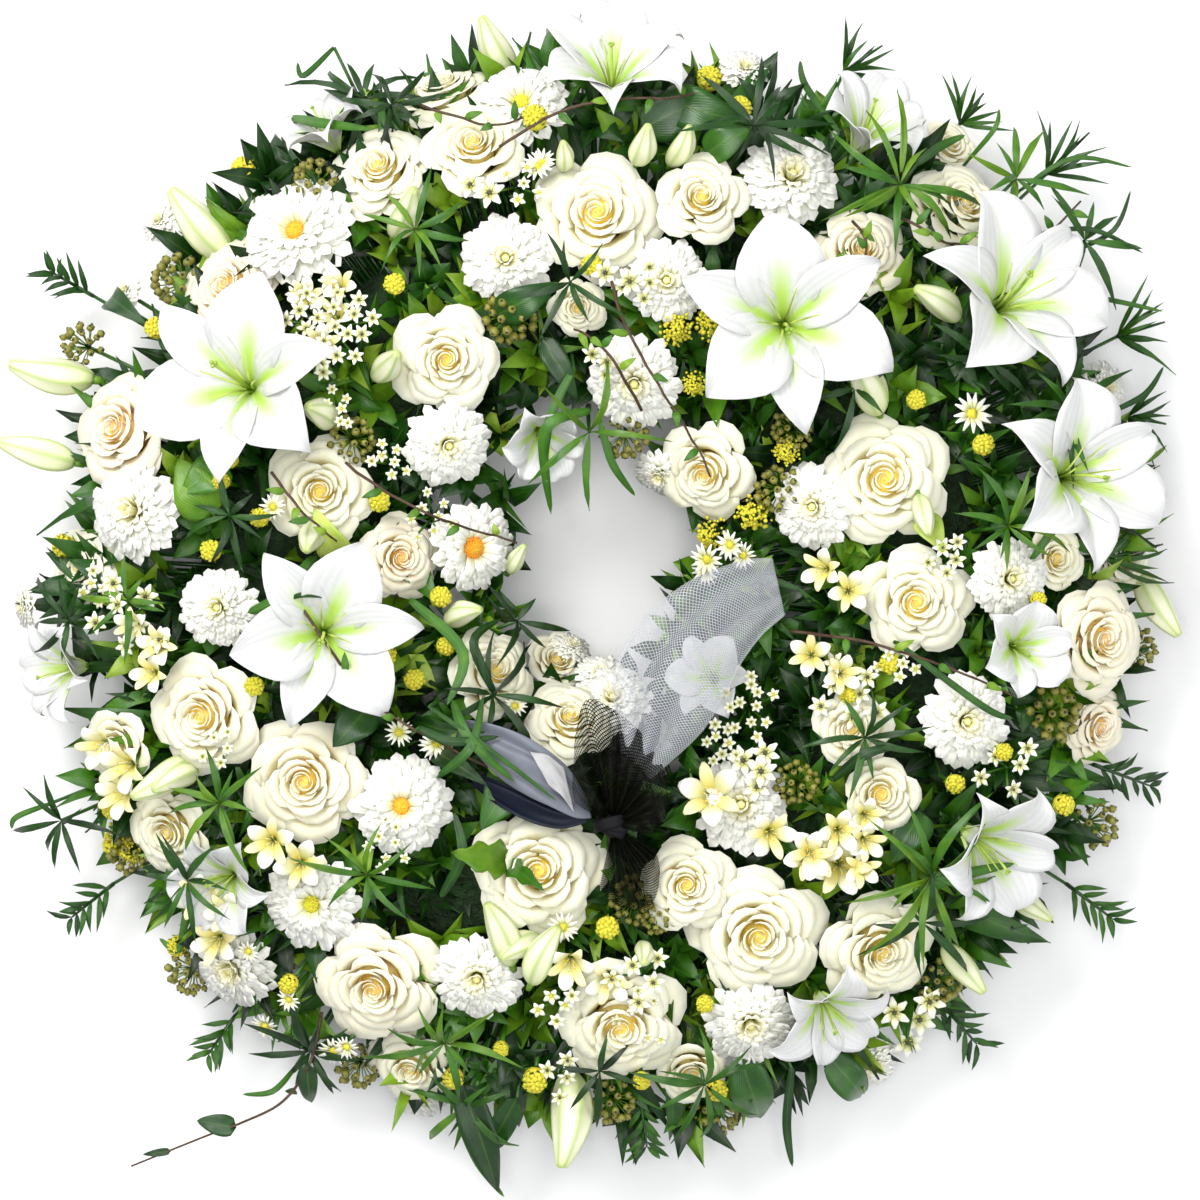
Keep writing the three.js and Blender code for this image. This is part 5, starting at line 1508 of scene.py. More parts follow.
@dataclass(frozen=True)
class StarForm:
    """A star floret of width 1: six pointed petals round a dark or yellow middle."""

    seed: int
    petals: int = 6
    heart: Slot = Slot.BERRY
    slender: float = 1.0
    tiny: bool = False

    def build(self) -> Growth:
        """The floret's mesh."""
        growth, rng = Growth(), random.Random(self.seed)
        for k in range(self.petals):
            heading = math.tau * k / self.petals + rng.uniform(-0.12, 0.12)
            rise = rng.uniform(0.05, 0.22)

            def place(u: float, v: float, heading: float = heading, rise: float = rise) -> Vector:
                half = 0.13 * self.slender * math.sin(math.pi * (0.12 + 0.83 * v)) ** 0.7
                at = polar(0.05 + 0.45 * v, heading, -0.2 + rise * math.sin(math.pi * 0.6 * v))
                return at + polar(u * half, heading + math.pi / 2.0, 0.05 * abs(u) * (1.0 - v))

            growth.sheet(1 if self.tiny else 2, 2, place, 0.02, Slot.FLORET)
        if self.tiny:
            growth.ball(Vector((0.0, 0.0, -0.14)), 0.1, self.heart, 0.15)
        elif self.heart is Slot.POLLEN:
            growth.ball(Vector((0.0, 0.0, -0.17)), 0.15, Slot.POLLEN, 0.15, 2, 0.5)
        else:
            growth.ball(Vector((0.0, 0.0, -0.12)), 0.085, Slot.BERRY, 0.75, 1)
            for k in range(6):
                angle = math.tau * (k + 0.5) / 6
                start, end = polar(0.05, angle, -0.18), polar(0.14, angle, 0.0)
                growth.stick(start, end, 0.02, 0.014, Slot.FLORET, 0.0, 3)
                growth.ball(polar(0.145, angle, 0.01), 0.026, Slot.POLLEN, 0.1, 1)
        growth.stick(Vector((0.0, 0.0, -0.75)), Vector((0.0, 0.0, -0.2)), 0.035, 0.05, Slot.GREEN, 0.55, 4)
        return growth


@dataclass(frozen=True)
class AlstroForm:
    """A small white lily-like flower of width 1 with yellow, streaked upper petals."""

    seed: int

    def build(self) -> Growth:
        """The flower's mesh."""
        growth, rng = Growth(), random.Random(self.seed)
        for k in range(6):
            inner = k % 2 == 0
            heading = math.tau * k / 6 + rng.uniform(-0.15, 0.15)
            width = 0.11 if inner else 0.17
            rise = rng.uniform(0.1, 0.25)

            def place(
                u: float, v: float, heading: float = heading, width: float = width, rise: float = rise
            ) -> Vector:
                half = width * math.sin(math.pi * (0.1 + 0.86 * v**1.15)) ** 0.75
                at = polar(0.03 + 0.49 * v, heading, -0.45 + (0.45 + rise) * math.sin(math.pi * 0.55 * v))
                return at + polar(u * half, heading + math.pi / 2.0, 0.06 * abs(u) * math.sin(math.pi * v))

            growth.sheet(3, 6, place, 0.014, Slot.FLORET, 0.55 if inner else 0.05)
        for k in range(5):
            angle = math.tau * k / 5 + 0.3
            low, high = Vector((0.0, 0.0, -0.42)), polar(0.12, angle, 0.04)
            growth.stick(low, high, 0.012, 0.008, Slot.FLORET, 0.3, 3)
            growth.ball(polar(0.125, angle, 0.05), 0.022, Slot.POLLEN, 0.45, 1)
        growth.stick(Vector((0.0, 0.0, -0.8)), Vector((0.0, 0.0, -0.4)), 0.03, 0.05, Slot.GREEN, 0.5, 5)
        return growth


@dataclass(frozen=True)
class SpikeForm:
    """A plume of goldenrod of height 1, with its tip at height 0."""

    seed: int

    def build(self) -> Growth:
        """The plume's mesh."""
        growth, rng = Growth(), random.Random(self.seed)
        growth.stick(Vector((0.0, 0.0, -1.1)), Vector((0.0, 0.0, -0.05)), 0.03, 0.012, Slot.GREEN, 0.55, 5)
        for k in range(110):
            share = (k + 0.5) / 110.0
            angle = k * 2.39996 + rng.uniform(-0.4, 0.4)
            reach = 0.06 + 0.42 * share**0.8 * rng.uniform(0.45, 1.0)
            at = polar(reach, angle, -0.9 * share + 0.3 * reach)
            growth.ball(at, 0.045 * rng.uniform(0.7, 1.25), Slot.POLLEN, rng.uniform(0.0, 0.2), 1)
            if k % 4 == 0:
                growth.stick(Vector((0.0, 0.0, at.z - 0.15)), at, 0.012, 0.01, Slot.GREEN, 0.6, 3)
        return growth


@dataclass(frozen=True)
class UmbelForm:
    """A head of ivy berries of width 1, each berry on its own stalk."""

    seed: int

    def build(self) -> Growth:
        """The head's mesh."""
        growth, rng = Growth(), random.Random(self.seed)
        count = 26
        foot = Vector((0.0, 0.0, -0.55))
        for k in range(count):
            share = (k + 0.5) / count
            tilt = math.acos(1.0 - share * 1.25)
            angle = k * 2.39996
            out = polar(math.sin(tilt), angle, math.cos(tilt))
            at = Vector((0.0, 0.0, -0.42)) + out * 0.42 * rng.uniform(0.88, 1.06)
            growth.ball(at, 0.08 * rng.uniform(0.85, 1.15), Slot.BERRY, OWN_TONE, 1)
            growth.ball(at + (at - foot).normalized() * 0.06, 0.03, Slot.BERRY, 1.0, 1)
            growth.stick(foot, at, 0.014, 0.012, Slot.GREEN, 0.6, 3)
        growth.stick(Vector((0.0, 0.0, -0.95)), foot, 0.04, 0.05, Slot.GREEN, 0.45, 5)
        return growth


# Leaves


class LeafShape(Enum):
    """The outlines of the leaves: width along the length, and faces across and along."""

    SLIM = "slim"
    OVAL = "oval"
    BROAD = "broad"
    HEART = "heart"
    LOBED = "lobed"
    SMALL = "small"


@dataclass(frozen=True)
class LeafForm:
    """A leaf from the origin along +X, of length 1 and unit width, with its face up."""

    shape: LeafShape
    seed: int
    arch: float = 0.12

    def half_width(self, v: float) -> float:
        """Half the leaf's width at a share of its length."""
        if self.shape is LeafShape.SLIM:
            return 0.5 * math.sin(math.pi * v**0.8) ** 0.9
        if self.shape is LeafShape.HEART:
            return 0.5 * math.sin(math.pi * v**0.55) ** 0.7
        if self.shape is LeafShape.LOBED:
            lobes = 0.62 + 0.38 * math.cos(math.tau * 1.5 * (v - 0.32)) ** 2
            return 0.5 * math.sin(math.pi * v**0.65) ** 0.7 * lobes
        return 0.5 * math.sin(math.pi * v ** (0.62 if self.shape is LeafShape.BROAD else 0.75)) ** 0.8

    def build(self) -> Growth:
        """The leaf's mesh."""
        growth, rng = Growth(), random.Random(self.seed)
        sway, wave = rng.uniform(-0.08, 0.08), rng.uniform(0.0, 6.0)
        fold = 0.08 if self.shape in (LeafShape.HEART, LeafShape.LOBED, LeafShape.BROAD) else 0.14

        def place(u: float, v: float) -> Vector:
            half = self.half_width(v)
            lobe = 0.0
            if self.shape in (LeafShape.HEART, LeafShape.LOBED):
                lobe = -0.14 * abs(u) * (1.0 - v) ** 3
            rise = self.arch * math.sin(math.pi * v) - self.arch * 0.6 * v * v
            crease = fold * 0.5 * abs(u) * math.sin(math.pi * v)
            ripple = 0.015 * math.sin(v * 13.0 + wave) * u
            return Vector((v + lobe, u * half + sway * v * v, rise + crease + ripple))

        sizes = {LeafShape.SLIM: (2, 5), LeafShape.OVAL: (2, 5), LeafShape.SMALL: (2, 3)}
        across, along_it = sizes.get(self.shape, (6, 12))
        growth.sheet(across, along_it, place, 0.01, Slot.GREEN)
        return growth


@dataclass
class Stock:
    """Every template of the wreath, built once."""

    flowers: dict[tuple[Kind, int], Template] = field(default_factory=dict)
    leaves: dict[LeafShape, list[Template]] = field(default_factory=dict)

    def build(self) -> None:
        """Builds the templates."""
        kinds = {
            Kind.ROSE: [RoseForm(seed, opened) for opened in (1.05, 0.9, 0.75) for seed in (11, 12, 13)],
            Kind.MUM: [MumForm(21), MumForm(22), MumForm(23, 1), MumForm(24, 2), MumForm(25, 3)],
            Kind.LILY: [LilyForm(seed, cup) for cup in (0.0, 0.3, 0.6) for seed in (31, 32)],
            Kind.BUD: [BudForm(41), BudForm(42)],
            Kind.BUTTON: [ButtonForm(51), ButtonForm(52)],
            Kind.STARS: [
                StarForm(61),
                StarForm(62),
                AlstroForm(63),
                AlstroForm(64),
                StarForm(67, 5, Slot.POLLEN, 1.3, True),
                StarForm(68, 6, Slot.BERRY, 1.2, True),
            ],
            Kind.ASTER: [StarForm(65, 15, Slot.POLLEN, 0.42), StarForm(66, 13, Slot.POLLEN, 0.5)],
            Kind.SPIKE: [SpikeForm(71), SpikeForm(72)],
            Kind.UMBEL: [UmbelForm(81), UmbelForm(82)],
        }
        for kind, forms in kinds.items():
            for i, form in enumerate(forms):
                self.flowers[kind, i] = Template(f"{kind.name.lower()}_{i}", form.build())
        for shape in LeafShape:
            forms = [LeafForm(shape, 90 + seed, 0.06 + 0.07 * seed) for seed in range(3)]
            self.leaves[shape] = [
                Template(f"{shape.value}_{i}", form.build()) for i, form in enumerate(forms)
            ]

    def pick(self, bloom: Bloom, rng: random.Random) -> Template:
        """The template for a bloom."""
        return self.flowers[bloom.kind, self.choice(bloom, rng)]

    def choice(self, bloom: Bloom, rng: random.Random) -> int:
        """Which of its kind's templates suits a bloom."""
        match bloom.kind:
            case Kind.ROSE:
                state = 0 if bloom.form >= 0.98 else 1 if bloom.form >= 0.84 else 2
                return state * 3 + rng.randrange(3)
            case Kind.MUM:
                return rng.randrange(2) if bloom.form == 0.0 else 1 + round(bloom.form)
            case Kind.LILY:
                state = 0 if bloom.form < 0.15 else 1 if bloom.form < 0.45 else 2
                return state * 2 + rng.randrange(2)
            case Kind.STARS:
                return rng.randrange(2) + (2 if bloom.size >= 38.0 else 4 if bloom.size < 17.0 else 0)
            case _:
                return rng.randrange(2)

    def leaf(self, shape: LeafShape, rng: random.Random) -> Template:
        """One of the leaves of a shape."""
        return rng.choice(self.leaves[shape])

    def discard(self) -> None:
        """Removes every template."""
        for template in self.flowers.values():
            template.discard()
        for several in self.leaves.values():
            for template in several:
                template.discard()


STOCK = Stock()

# The wreath's pieces

# How far below its face each kind of flower ends, in shares of its size.
FOOT: dict[Kind, float] = {
    Kind.ROSE: 0.64,
    Kind.MUM: 0.4,
    Kind.LILY: 0.32,
    Kind.BUD: 0.6,
    Kind.BUTTON: 0.88,
    Kind.STARS: 0.7,
    Kind.ASTER: 0.72,
    Kind.SPIKE: 1.05,
    Kind.UMBEL: 0.93,
}


# How much larger than its frame solid a kind is drawn; a lily's form is two units wide.
SWELL: dict[Kind, float] = {Kind.ROSE: 1.07, Kind.MUM: 1.1, Kind.LILY: 0.5, Kind.UMBEL: 1.1}


@dataclass
class Piece:
    """A piece of the scene that stands in for one node of the frame."""

    name: str
    node: str
    slot: str
    growth: Growth = field(default_factory=Growth)

    def make(self, palette: Sequence[bpy.types.Material]) -> bpy.types.Object:
        """Turns the mesh into an object that wears only the finishes it uses.

        Args:
            palette: The materials in the order of the faces' numbers.

        Returns:
            The object, tied to the wreath, with its node hidden.
        """
        self.growth.finish()
        mesh = bpy.data.meshes.new(self.name)
        self.growth.mesh.to_mesh(mesh)
        self.growth.mesh.free()
        numbers = [0] * len(mesh.polygons)
        mesh.polygons.foreach_get("material_index", numbers)
        used = sorted(set(numbers))
        for number in used:
            mesh.materials.append(palette[number])
        spots = {number: spot for spot, number in enumerate(used)}
        mesh.polygons.foreach_set("material_index", [spots[number] for number in numbers])
        piece = bpy.data.objects.new(self.name, mesh)
        bpy.context.scene.collection.objects.link(piece)
        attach(piece, "root")
        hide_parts(self.node)
        log.info("%s: %d faces", self.name, len(mesh.polygons))
        return piece


@dataclass
class Planting:
    """Sets flowers and leaves into a piece."""

    growth: Growth
    rng: random.Random

    def flower(self, bloom: Bloom) -> None:
        """Sets one flower, or a cluster of them, on its stem."""
        if bloom.across:
            self.cluster(bloom)
            return
        template = STOCK.pick(bloom, self.rng)
        seat = bloom.seat()
        scale = Matrix.Scale(SWELL.get(bloom.kind, 1.0), 4)
        spin = 0.0 if bloom.kind is Kind.LILY else self.rng.uniform(0.0, math.tau)
        turn = Matrix.Rotation(spin, 4, "Z")
        grow = Matrix.Scale(bloom.tall, 4, UP) if bloom.tall != 1.0 else Matrix.Identity(4)
        self.growth.plant(template, seat @ scale @ turn @ grow, bloom.tone)
        self.stem(seat @ Vector((0.0, 0.0, -FOOT[bloom.kind])), bloom)

    def cluster(self, bloom: Bloom) -> None:
        """Sets a cluster of florets, spread as sunflower seeds are, over one stem."""
        count = int(bloom.form)
        base = FACE.seat(bloom.x, bloom.y, bloom.lift - 16.0, bloom.lean, bloom.toward)
        foot = base.translation
        for k in range(count):
            share = math.sqrt((k + 0.6) / count)
            angle = math.radians(bloom.spin) + k * 2.39996 + self.rng.uniform(-0.3, 0.3)
            reach = bloom.across * 0.5 * share
            x, y = bloom.x + reach * math.cos(angle), bloom.y - reach * math.sin(angle)
            lift = bloom.lift + self.rng.uniform(-5.0, 4.0)
            lean = FACE.lean * FACE.outwardness(x, y) * 0.6 + self.rng.uniform(-14, 14)
            seat = FACE.seat(x, y, lift, lean)
            size = bloom.size * PLAN_UNIT * self.rng.uniform(0.88, 1.1)
            turn = Matrix.Rotation(self.rng.uniform(0.0, math.tau), 4, "Z")
            matrix = seat @ Matrix.Scale(size, 4) @ turn
            self.growth.plant(STOCK.pick(bloom, self.rng), matrix, bloom.tone)
            end = matrix @ Vector((0.0, 0.0, -0.72))
            self.growth.stick(foot + Vector((0.0, 0.0, -0.008)), end, 0.0009, 0.0007, Slot.GREEN, 0.5)
        self.stem(foot + Vector((0.0, 0.0, -0.006)), bloom)

    def stem(self, foot: Vector, bloom: Bloom) -> None:
        """A stem from a flower's foot through the leaves into the foam."""
        joint, end = FACE.fork(bloom.x, bloom.y)
        thick = 0.0022 if bloom.kind in (Kind.ROSE, Kind.LILY) else 0.0013
        middle = (foot + joint) / 2.0 + Vector((0.0, 0.0, -0.004))
        path = [foot, middle, joint, end]
        self.growth.tube(path, (thick, thick * 1.05, thick * 1.1, thick * 0.9), Slot.GREEN, 0.4, 6)

    def blade(
        self, shape: LeafShape, root: Vector, tip: Vector, width: float, tone: float, roll: float = 0.0
    ) -> None:
        """Sets one leaf between two points.

        Args:
            shape: Its outline.
            root, tip: Where it starts and ends.
            width: Its full width.
            tone: How light its green is.
            roll: A turn about its own length in degrees.
        """
        way = tip - root
        side = UP.cross(way)
        side = side.normalized() if side.length > 1e-6 else Vector((0.0, 1.0, 0.0))
        ahead = way.normalized()
        above = ahead.cross(side)
        frame = Matrix((ahead, side, above)).transposed().to_4x4()
        turn = Matrix.Rotation(math.radians(roll), 4, "X")
        size = Matrix.Diagonal((way.length, width, way.length, 1.0))
        matrix = Matrix.Translation(root) @ frame @ turn @ size
        self.growth.plant(STOCK.leaf(shape, self.rng), matrix, tone)

    def whorl(self, x: float, y: float, count: int, length: float, lift: float, spin: float) -> None:
        """Slim leaves in a star on one stem."""
        at = plan_point(x, y, FACE.height(x, y) + lift * MM)
        seat = FACE.seat(x, y, lift)
        base = self.rng.choice((0.14, 0.2, 0.3, 0.42, 0.52))
        for k in range(count):
            layer = 0.0 if k % 2 == 0 else 1.0
            angle = math.radians(spin) + math.tau * k / count + self.rng.uniform(-0.34, 0.34)
            reach = length * PLAN_UNIT * self.rng.uniform(0.62, 1.12) * (1.0 - 0.2 * layer)
            droop = self.rng.uniform(-0.15, 0.35) + 0.1 * layer
            tip = seat @ Vector((reach * math.cos(angle), reach * math.sin(angle), reach * droop))
            tone = base + self.rng.uniform(-0.08, 0.12)
            width = (0.0032 + 0.034 * reach) * self.rng.uniform(0.8, 1.15)
            self.blade(LeafShape.SLIM, at, tip, width, tone, self.rng.uniform(-25, 25))
        self.stalk(x, y, at)

    def stalk(self, x: float, y: float, at: Vector) -> None:
        """A thin stalk from a leaf's root down to the fork under it."""
        joint, _ = FACE.fork(x, y)
        middle = (at + joint) / 2.0 + Vector((0.0, 0.0, -0.006))
        self.growth.tube([at, middle, joint], (0.0012, 0.0014, 0.0016), Slot.GREEN, 0.3, 5)


@dataclass
class LeafBed:
    """One of the six leaf beds: dark undergrowth with painted shade, tufts of leaves and what grows among
    them.
    """

    index: int
    growth: Growth = field(default_factory=Growth)

    def __post_init__(self) -> None:
        self.rng = random.Random(100 + self.index)
        self.planting = Planting(self.growth, self.rng)
        self.start = math.radians(-20.0 + 60.0 * (self.index - 1))

    def holds(self, x: float, y: float) -> bool:
        """Whether a plan position lies in this bed's sixth of the ring."""
        at = plan_point(x, y, 0.0)
        return (math.atan2(at.y, at.x) - self.start) % math.tau < math.tau / 6.0

    def build(self) -> None:
        """Grows the whole bed."""
        self.core()
        self.tufts()
        self.rim()
        for bloom in EXTRAS:
            if self.holds(bloom.x, bloom.y):
                self.planting.flower(bloom)
        for x, y, count, length, lift, spin in WHORLS:
            if self.holds(x, y):
                self.planting.whorl(x, y, count, length, lift, spin)
        self.single_leaves()
        for path in VINES:
            if self.holds(path[0][0], path[0][1]):
                self.vine(path)
        for sprig in SPRIGS:
            if self.holds(sprig[0], sprig[1]):
                self.sprig(*sprig)
        if self.holds(TRAIL[-1][0], TRAIL[-1][1]):
            self.trail()

    def core(self) -> None:
        """The dense dark growth over the foam, its near black partly painted shade: the bed's section swept
        over its sixth.
        """
        section = [
            (0.2470, 0.0420), (0.2550, 0.0420), (0.2470, 0.0560), (0.2366, 0.0690), (0.2120, 0.0780),
            (0.1960, 0.0800), (0.1780, 0.0780), (0.1553, 0.0690), (0.1450, 0.0560), (0.1369, 0.0420),
            (0.1449, 0.0420), (0.1449, 0.0483), (0.1593, 0.0627), (0.2326, 0.0627), (0.2470, 0.0483),
        ]
        mesh = self.growth.mesh
        begin, turn = self.start + 0.003, math.tau / 6.0 - 0.006
        verts = [mesh.verts.new(polar(r, begin, z)) for r, z in section]
        face = mesh.faces.new(verts)
        bmesh.ops.spin(
            mesh,
            geom=[face, *face.edges, *verts],
            cent=(0, 0, 0),
            axis=(0, 0, 1),
            angle=turn,
            steps=22,
            use_duplicate=False,
        )
        ring = list(mesh.verts)
        for vert in ring:
            if vert.co.z > 0.0635 or vert.co.xy.length > 0.2475 or vert.co.xy.length < 0.1445:
                push = noise.noise(vert.co * 60.0) * 0.006 + noise.noise(vert.co * 170.0) * 0.003
                vert.co.z += push
        # The swept bed wears the near black undergrowth finish, partly painted shade.
        self.growth.dress(ring, Slot.UNDERGROWTH_WITH_PAINTED_SHADE.value, 0.0)

    def tufts(self) -> None:
        """Tufts of small leaves that fill the space between the stems, up to under the flowers."""
        for _ in range(165):
            angle = self.start + self.rng.uniform(0.0, math.tau / 6.0)
            reach = math.sqrt(self.rng.uniform(0.05**2, 0.333**2))
            at = polar(reach, angle, 0.0)
            x, y = PLAN_MIDDLE[0] + at.x / PLAN_UNIT, PLAN_MIDDLE[1] - at.y / PLAN_UNIT
            if hole_share(x, y) < 1.25:
                continue
            top = FACE.height(x, y) - 0.026 + self.rng.uniform(-0.02, 0.014)
            low = max(0.04, min(top - 0.02, top - self.rng.uniform(0.02, 0.04)))
            shade = self.rng.choice((0.0, 0.07, 0.14, 0.22, 0.32, 0.42, 0.54, 0.7))
            if reach < 0.14 or reach > 0.25:
                self.branch(at, low)
            self.tuft(lifted(at, low), top, shade, FACE.outwardness(x, y), angle)

    def branch(self, at: Vector, height: float) -> None:
        """A twig from the bed out to a tuft that stands past the foam."""
        held = at.normalized() * (0.15 if at.length < 0.2 else 0.242)
        path = [lifted(held, 0.058), lifted((held + at) / 2.0, 0.052), lifted(at, height)]
        self.growth.tube(path, (0.0017, 0.0014, 0.0011), Slot.GREEN, 0.2, 4)

    def tuft(self, root: Vector, top: float, shade: float, out: float, heading: float) -> None:
        """One tuft: a short stalk with four to six leaves that lean apart."""
        count = self.rng.randint(4, 6)
        turn = self.rng.uniform(0.0, math.tau)
        for k in range(count):
            way = turn + math.tau * k / count + self.rng.uniform(-0.3, 0.3)
            reach = self.rng.uniform(0.012, 0.03)
            tip = root + polar(reach, way, 0.0) + polar(0.012 * max(0.0, out), heading, 0.0)
            tip.z = top - self.rng.uniform(0.0, 0.012)
            width = self.rng.choice((0.005, 0.009, 0.013, 0.016)) * self.rng.uniform(0.85, 1.15)
            tone = shade + self.rng.uniform(-0.05, 0.1)
            self.planting.blade(LeafShape.SMALL, root, tip, width, tone, self.rng.uniform(-30, 30))

    def rim(self) -> None:
        """Leaves that stand out past the flowers and hang over the side of the ring."""
        for k in range(54):
            angle = self.start + math.tau / 6.0 * (k + self.rng.uniform(0.1, 0.9)) / 54.0
            level = k % 3
            root = polar((0.275, 0.262, 0.25)[level], angle, (0.062, 0.052, 0.048)[level])
            reaches = [self.rng.uniform(*span) for span in ((0.325, 0.362), (0.3, 0.345), (0.275, 0.305))]
            way = angle + self.rng.uniform(-0.12, 0.12)
            tip = polar(reaches[level], way, (0.06, 0.04, 0.016)[level] + self.rng.uniform(-0.014, 0.012))
            shape = self.rng.choice((LeafShape.OVAL, LeafShape.SLIM, LeafShape.SLIM))
            width = self.rng.uniform(0.012, 0.02) * (0.5 if shape is LeafShape.SLIM else 1.0)
            if level < 2:
                self.growth.tube([polar(0.246, angle, 0.054), root], (0.0016, 0.0012), Slot.GREEN, 0.25, 4)
            tone, roll = self.rng.uniform(0.1, 0.5), self.rng.uniform(-25, 25)
            self.planting.blade(shape, root, tip, width, tone, roll)
        for k in range(16):
            angle = self.start + math.tau / 6.0 * (k + self.rng.uniform(0.1, 0.9)) / 16.0
            root = polar(0.142, angle, 0.06)
            reach = self.rng.uniform(0.118, 0.132)
            tip = polar(reach, angle + self.rng.uniform(-0.15, 0.15), self.rng.uniform(0.02, 0.06))
            if hole_share(PLAN_MIDDLE[0] + tip.x / PLAN_UNIT, PLAN_MIDDLE[1] - tip.y / PLAN_UNIT) < 1.2:
                continue
            width, tone = self.rng.uniform(0.012, 0.02), self.rng.uniform(0.05, 0.35)
            self.planting.blade(LeafShape.OVAL, root, tip, width, tone)

    def single_leaves(self) -> None:
        """The broad leaves and the long blades that lie between the flowers."""
        for rx, ry, tx, ty, width, lift, tone in BROAD_LEAVES:
            if self.holds(rx, ry):
                root = plan_point(rx, ry, FACE.height(rx, ry) - 0.012)
                tip = plan_point(tx, ty, max(0.02, FACE.height(tx, ty) + lift * MM - 0.004))
                shape = LeafShape.LOBED if lift >= 34 else LeafShape.BROAD
                self.planting.blade(shape, root, tip, width * PLAN_UNIT, tone, self.rng.uniform(-10, 10))
                self.planting.stalk(rx, ry, root)
        for rx, ry, mx, my, tx, ty, width, lift in BLADES:
            if self.holds(rx, ry):
                points = [(rx, ry, lift - 8.0), (mx, my, lift + 3.0), (tx, ty, lift - 2.0)]
                self.long_blade(points, width * PLAN_UNIT, self.rng.uniform(0.15, 0.5))
                self.planting.stalk(rx, ry, plan_point(rx, ry, FACE.height(rx, ry) + (lift - 8.0) * MM))

    def long_blade(self, points: Sequence[tuple[float, float, float]], width: float, tone: float) -> None:
        """A long narrow leaf that bends over the flowers."""
        path = [plan_point(x, y, max(0.012, FACE.height(x, y) + lift * MM)) for x, y, lift in points]

        def place(u: float, v: float) -> Vector:
            at = Vector(along(path, v))
            ahead = Vector(along(path, min(1.0, v + 0.02))) - Vector(along(path, v - 0.02))
            side = UP.cross(ahead).normalized()
            half = width * 0.5 * math.sin(math.pi * min(1.0, 0.12 + 0.88 * v)) ** 0.6
            return at + side * (u * half) + UP * (0.25 * half * abs(u))

        self.growth.sheet(2, 12, place, 0.0004, Slot.GREEN, tone)

    def sprig(self, rx: float, ry: float, tx: float, ty: float, lift: float) -> None:
        """A twig with slim leaves in pairs, standing out past the flowers."""
        root = plan_point(rx, ry, FACE.height(rx, ry) - 0.03)
        tip = plan_point(tx, ty, max(0.024, FACE.height(tx, ty) + lift * MM))
        tip = root + (tip - root) * 0.72
        middle = (root + tip) / 2.0 + Vector((0.0, 0.0, 0.006))
        path = [Vector(along([root, middle, tip], k / 6.0)) for k in range(7)]
        self.growth.tube(path, (0.0014, 0.0014, 0.0012, 0.0011, 0.001, 0.0008, 0.0006), Slot.GREEN, 0.2, 4)
        self.planting.stalk(rx, ry, root)
        ahead = (tip - root).normalized()
        side = UP.cross(ahead).normalized()
        tone = self.rng.uniform(0.1, 0.4)
        if rx > 800 and ry < 600:
            self.grass(root, tip, side, tone)
            return
        for k in range(1, 7):
            for hand in (-1.0, 1.0):
                reach = self.rng.uniform(0.014, 0.026) * (1.15 - 0.07 * k)
                way = ahead * self.rng.uniform(0.6, 1.0) + side * hand * self.rng.uniform(0.5, 0.9)
                way += UP * self.rng.uniform(-0.2, 0.35)
                end = path[k] + way.normalized() * reach
                shade, roll = tone + self.rng.uniform(-0.06, 0.1), self.rng.uniform(-25, 25)
                self.planting.blade(LeafShape.SLIM, path[k], end, 0.0038, shade, roll)

    def grass(self, root: Vector, tip: Vector, side: Vector, tone: float) -> None:
        """Thin blades that fan out from the root of a twig."""
        for k in range(9):
            spread = (k - 4.0) / 4.0 + self.rng.uniform(-0.1, 0.1)
            reach = self.rng.uniform(0.75, 1.25) * (1.0 - 0.2 * abs(spread))
            end = root + (tip - root) * reach + side * (0.03 * spread) + UP * self.rng.uniform(-0.006, 0.01)
            shade, roll = tone + self.rng.uniform(-0.06, 0.1), self.rng.uniform(-25, 25)
            self.planting.blade(LeafShape.SLIM, root, end, 0.0032, shade, roll)

    def vine(self, points: Sequence[tuple[float, float, float]]) -> None:
        """A thin brown stem over the flowers, with a few tiny leaves."""
        path = [plan_point(x, y, FACE.height(x, y) + lift * MM) for x, y, lift in points]
        line = [Vector(along(path, k / 20.0)) for k in range(21)]
        line = [
            at + polar(0.0014 * noise.noise(at * 70.0), 1.0, 0.002 * noise.noise(at * 40.0)) for at in line
        ]
        self.growth.tube(line, [blend(k / 20.0, 0.0011, 0.0007) for k in range(21)], Slot.BARK, 0.0, 5)
        for k in (5, 9, 13, 17):
            way = self.rng.uniform(0.0, math.tau)
            tip = line[k] + polar(self.rng.uniform(0.008, 0.014), way, 0.004)
            self.planting.blade(LeafShape.OVAL, line[k], tip, 0.005, self.rng.uniform(0.4, 0.8))

    def trail(self) -> None:
        """The long stem that runs out at the lower left, with heart-shaped leaves."""
        path = [plan_point(x, y, z * MM) for x, y, z in TRAIL]
        line = [Vector(along(path, k / 40.0)) for k in range(41)]
        self.growth.tube(line, [blend(k / 40.0, 0.0011, 0.0006) for k in range(41)], Slot.BARK, 0.0, 6)
        for spot, x, y, z, width in (
            (9, 318, 1094, 50, 20), (14, 300, 1076, 58, 12), (27, 204, 1112, 44, 22),
            (36, 150, 1146, 38, 8),
        ):
            tip, tone = plan_point(x, y, z * MM), self.rng.uniform(0.1, 0.25)
            self.planting.blade(LeafShape.HEART, line[spot], tip, width * PLAN_UNIT, tone, 8.0)


# The bow

Row = tuple[float, float, float, float, float, float]

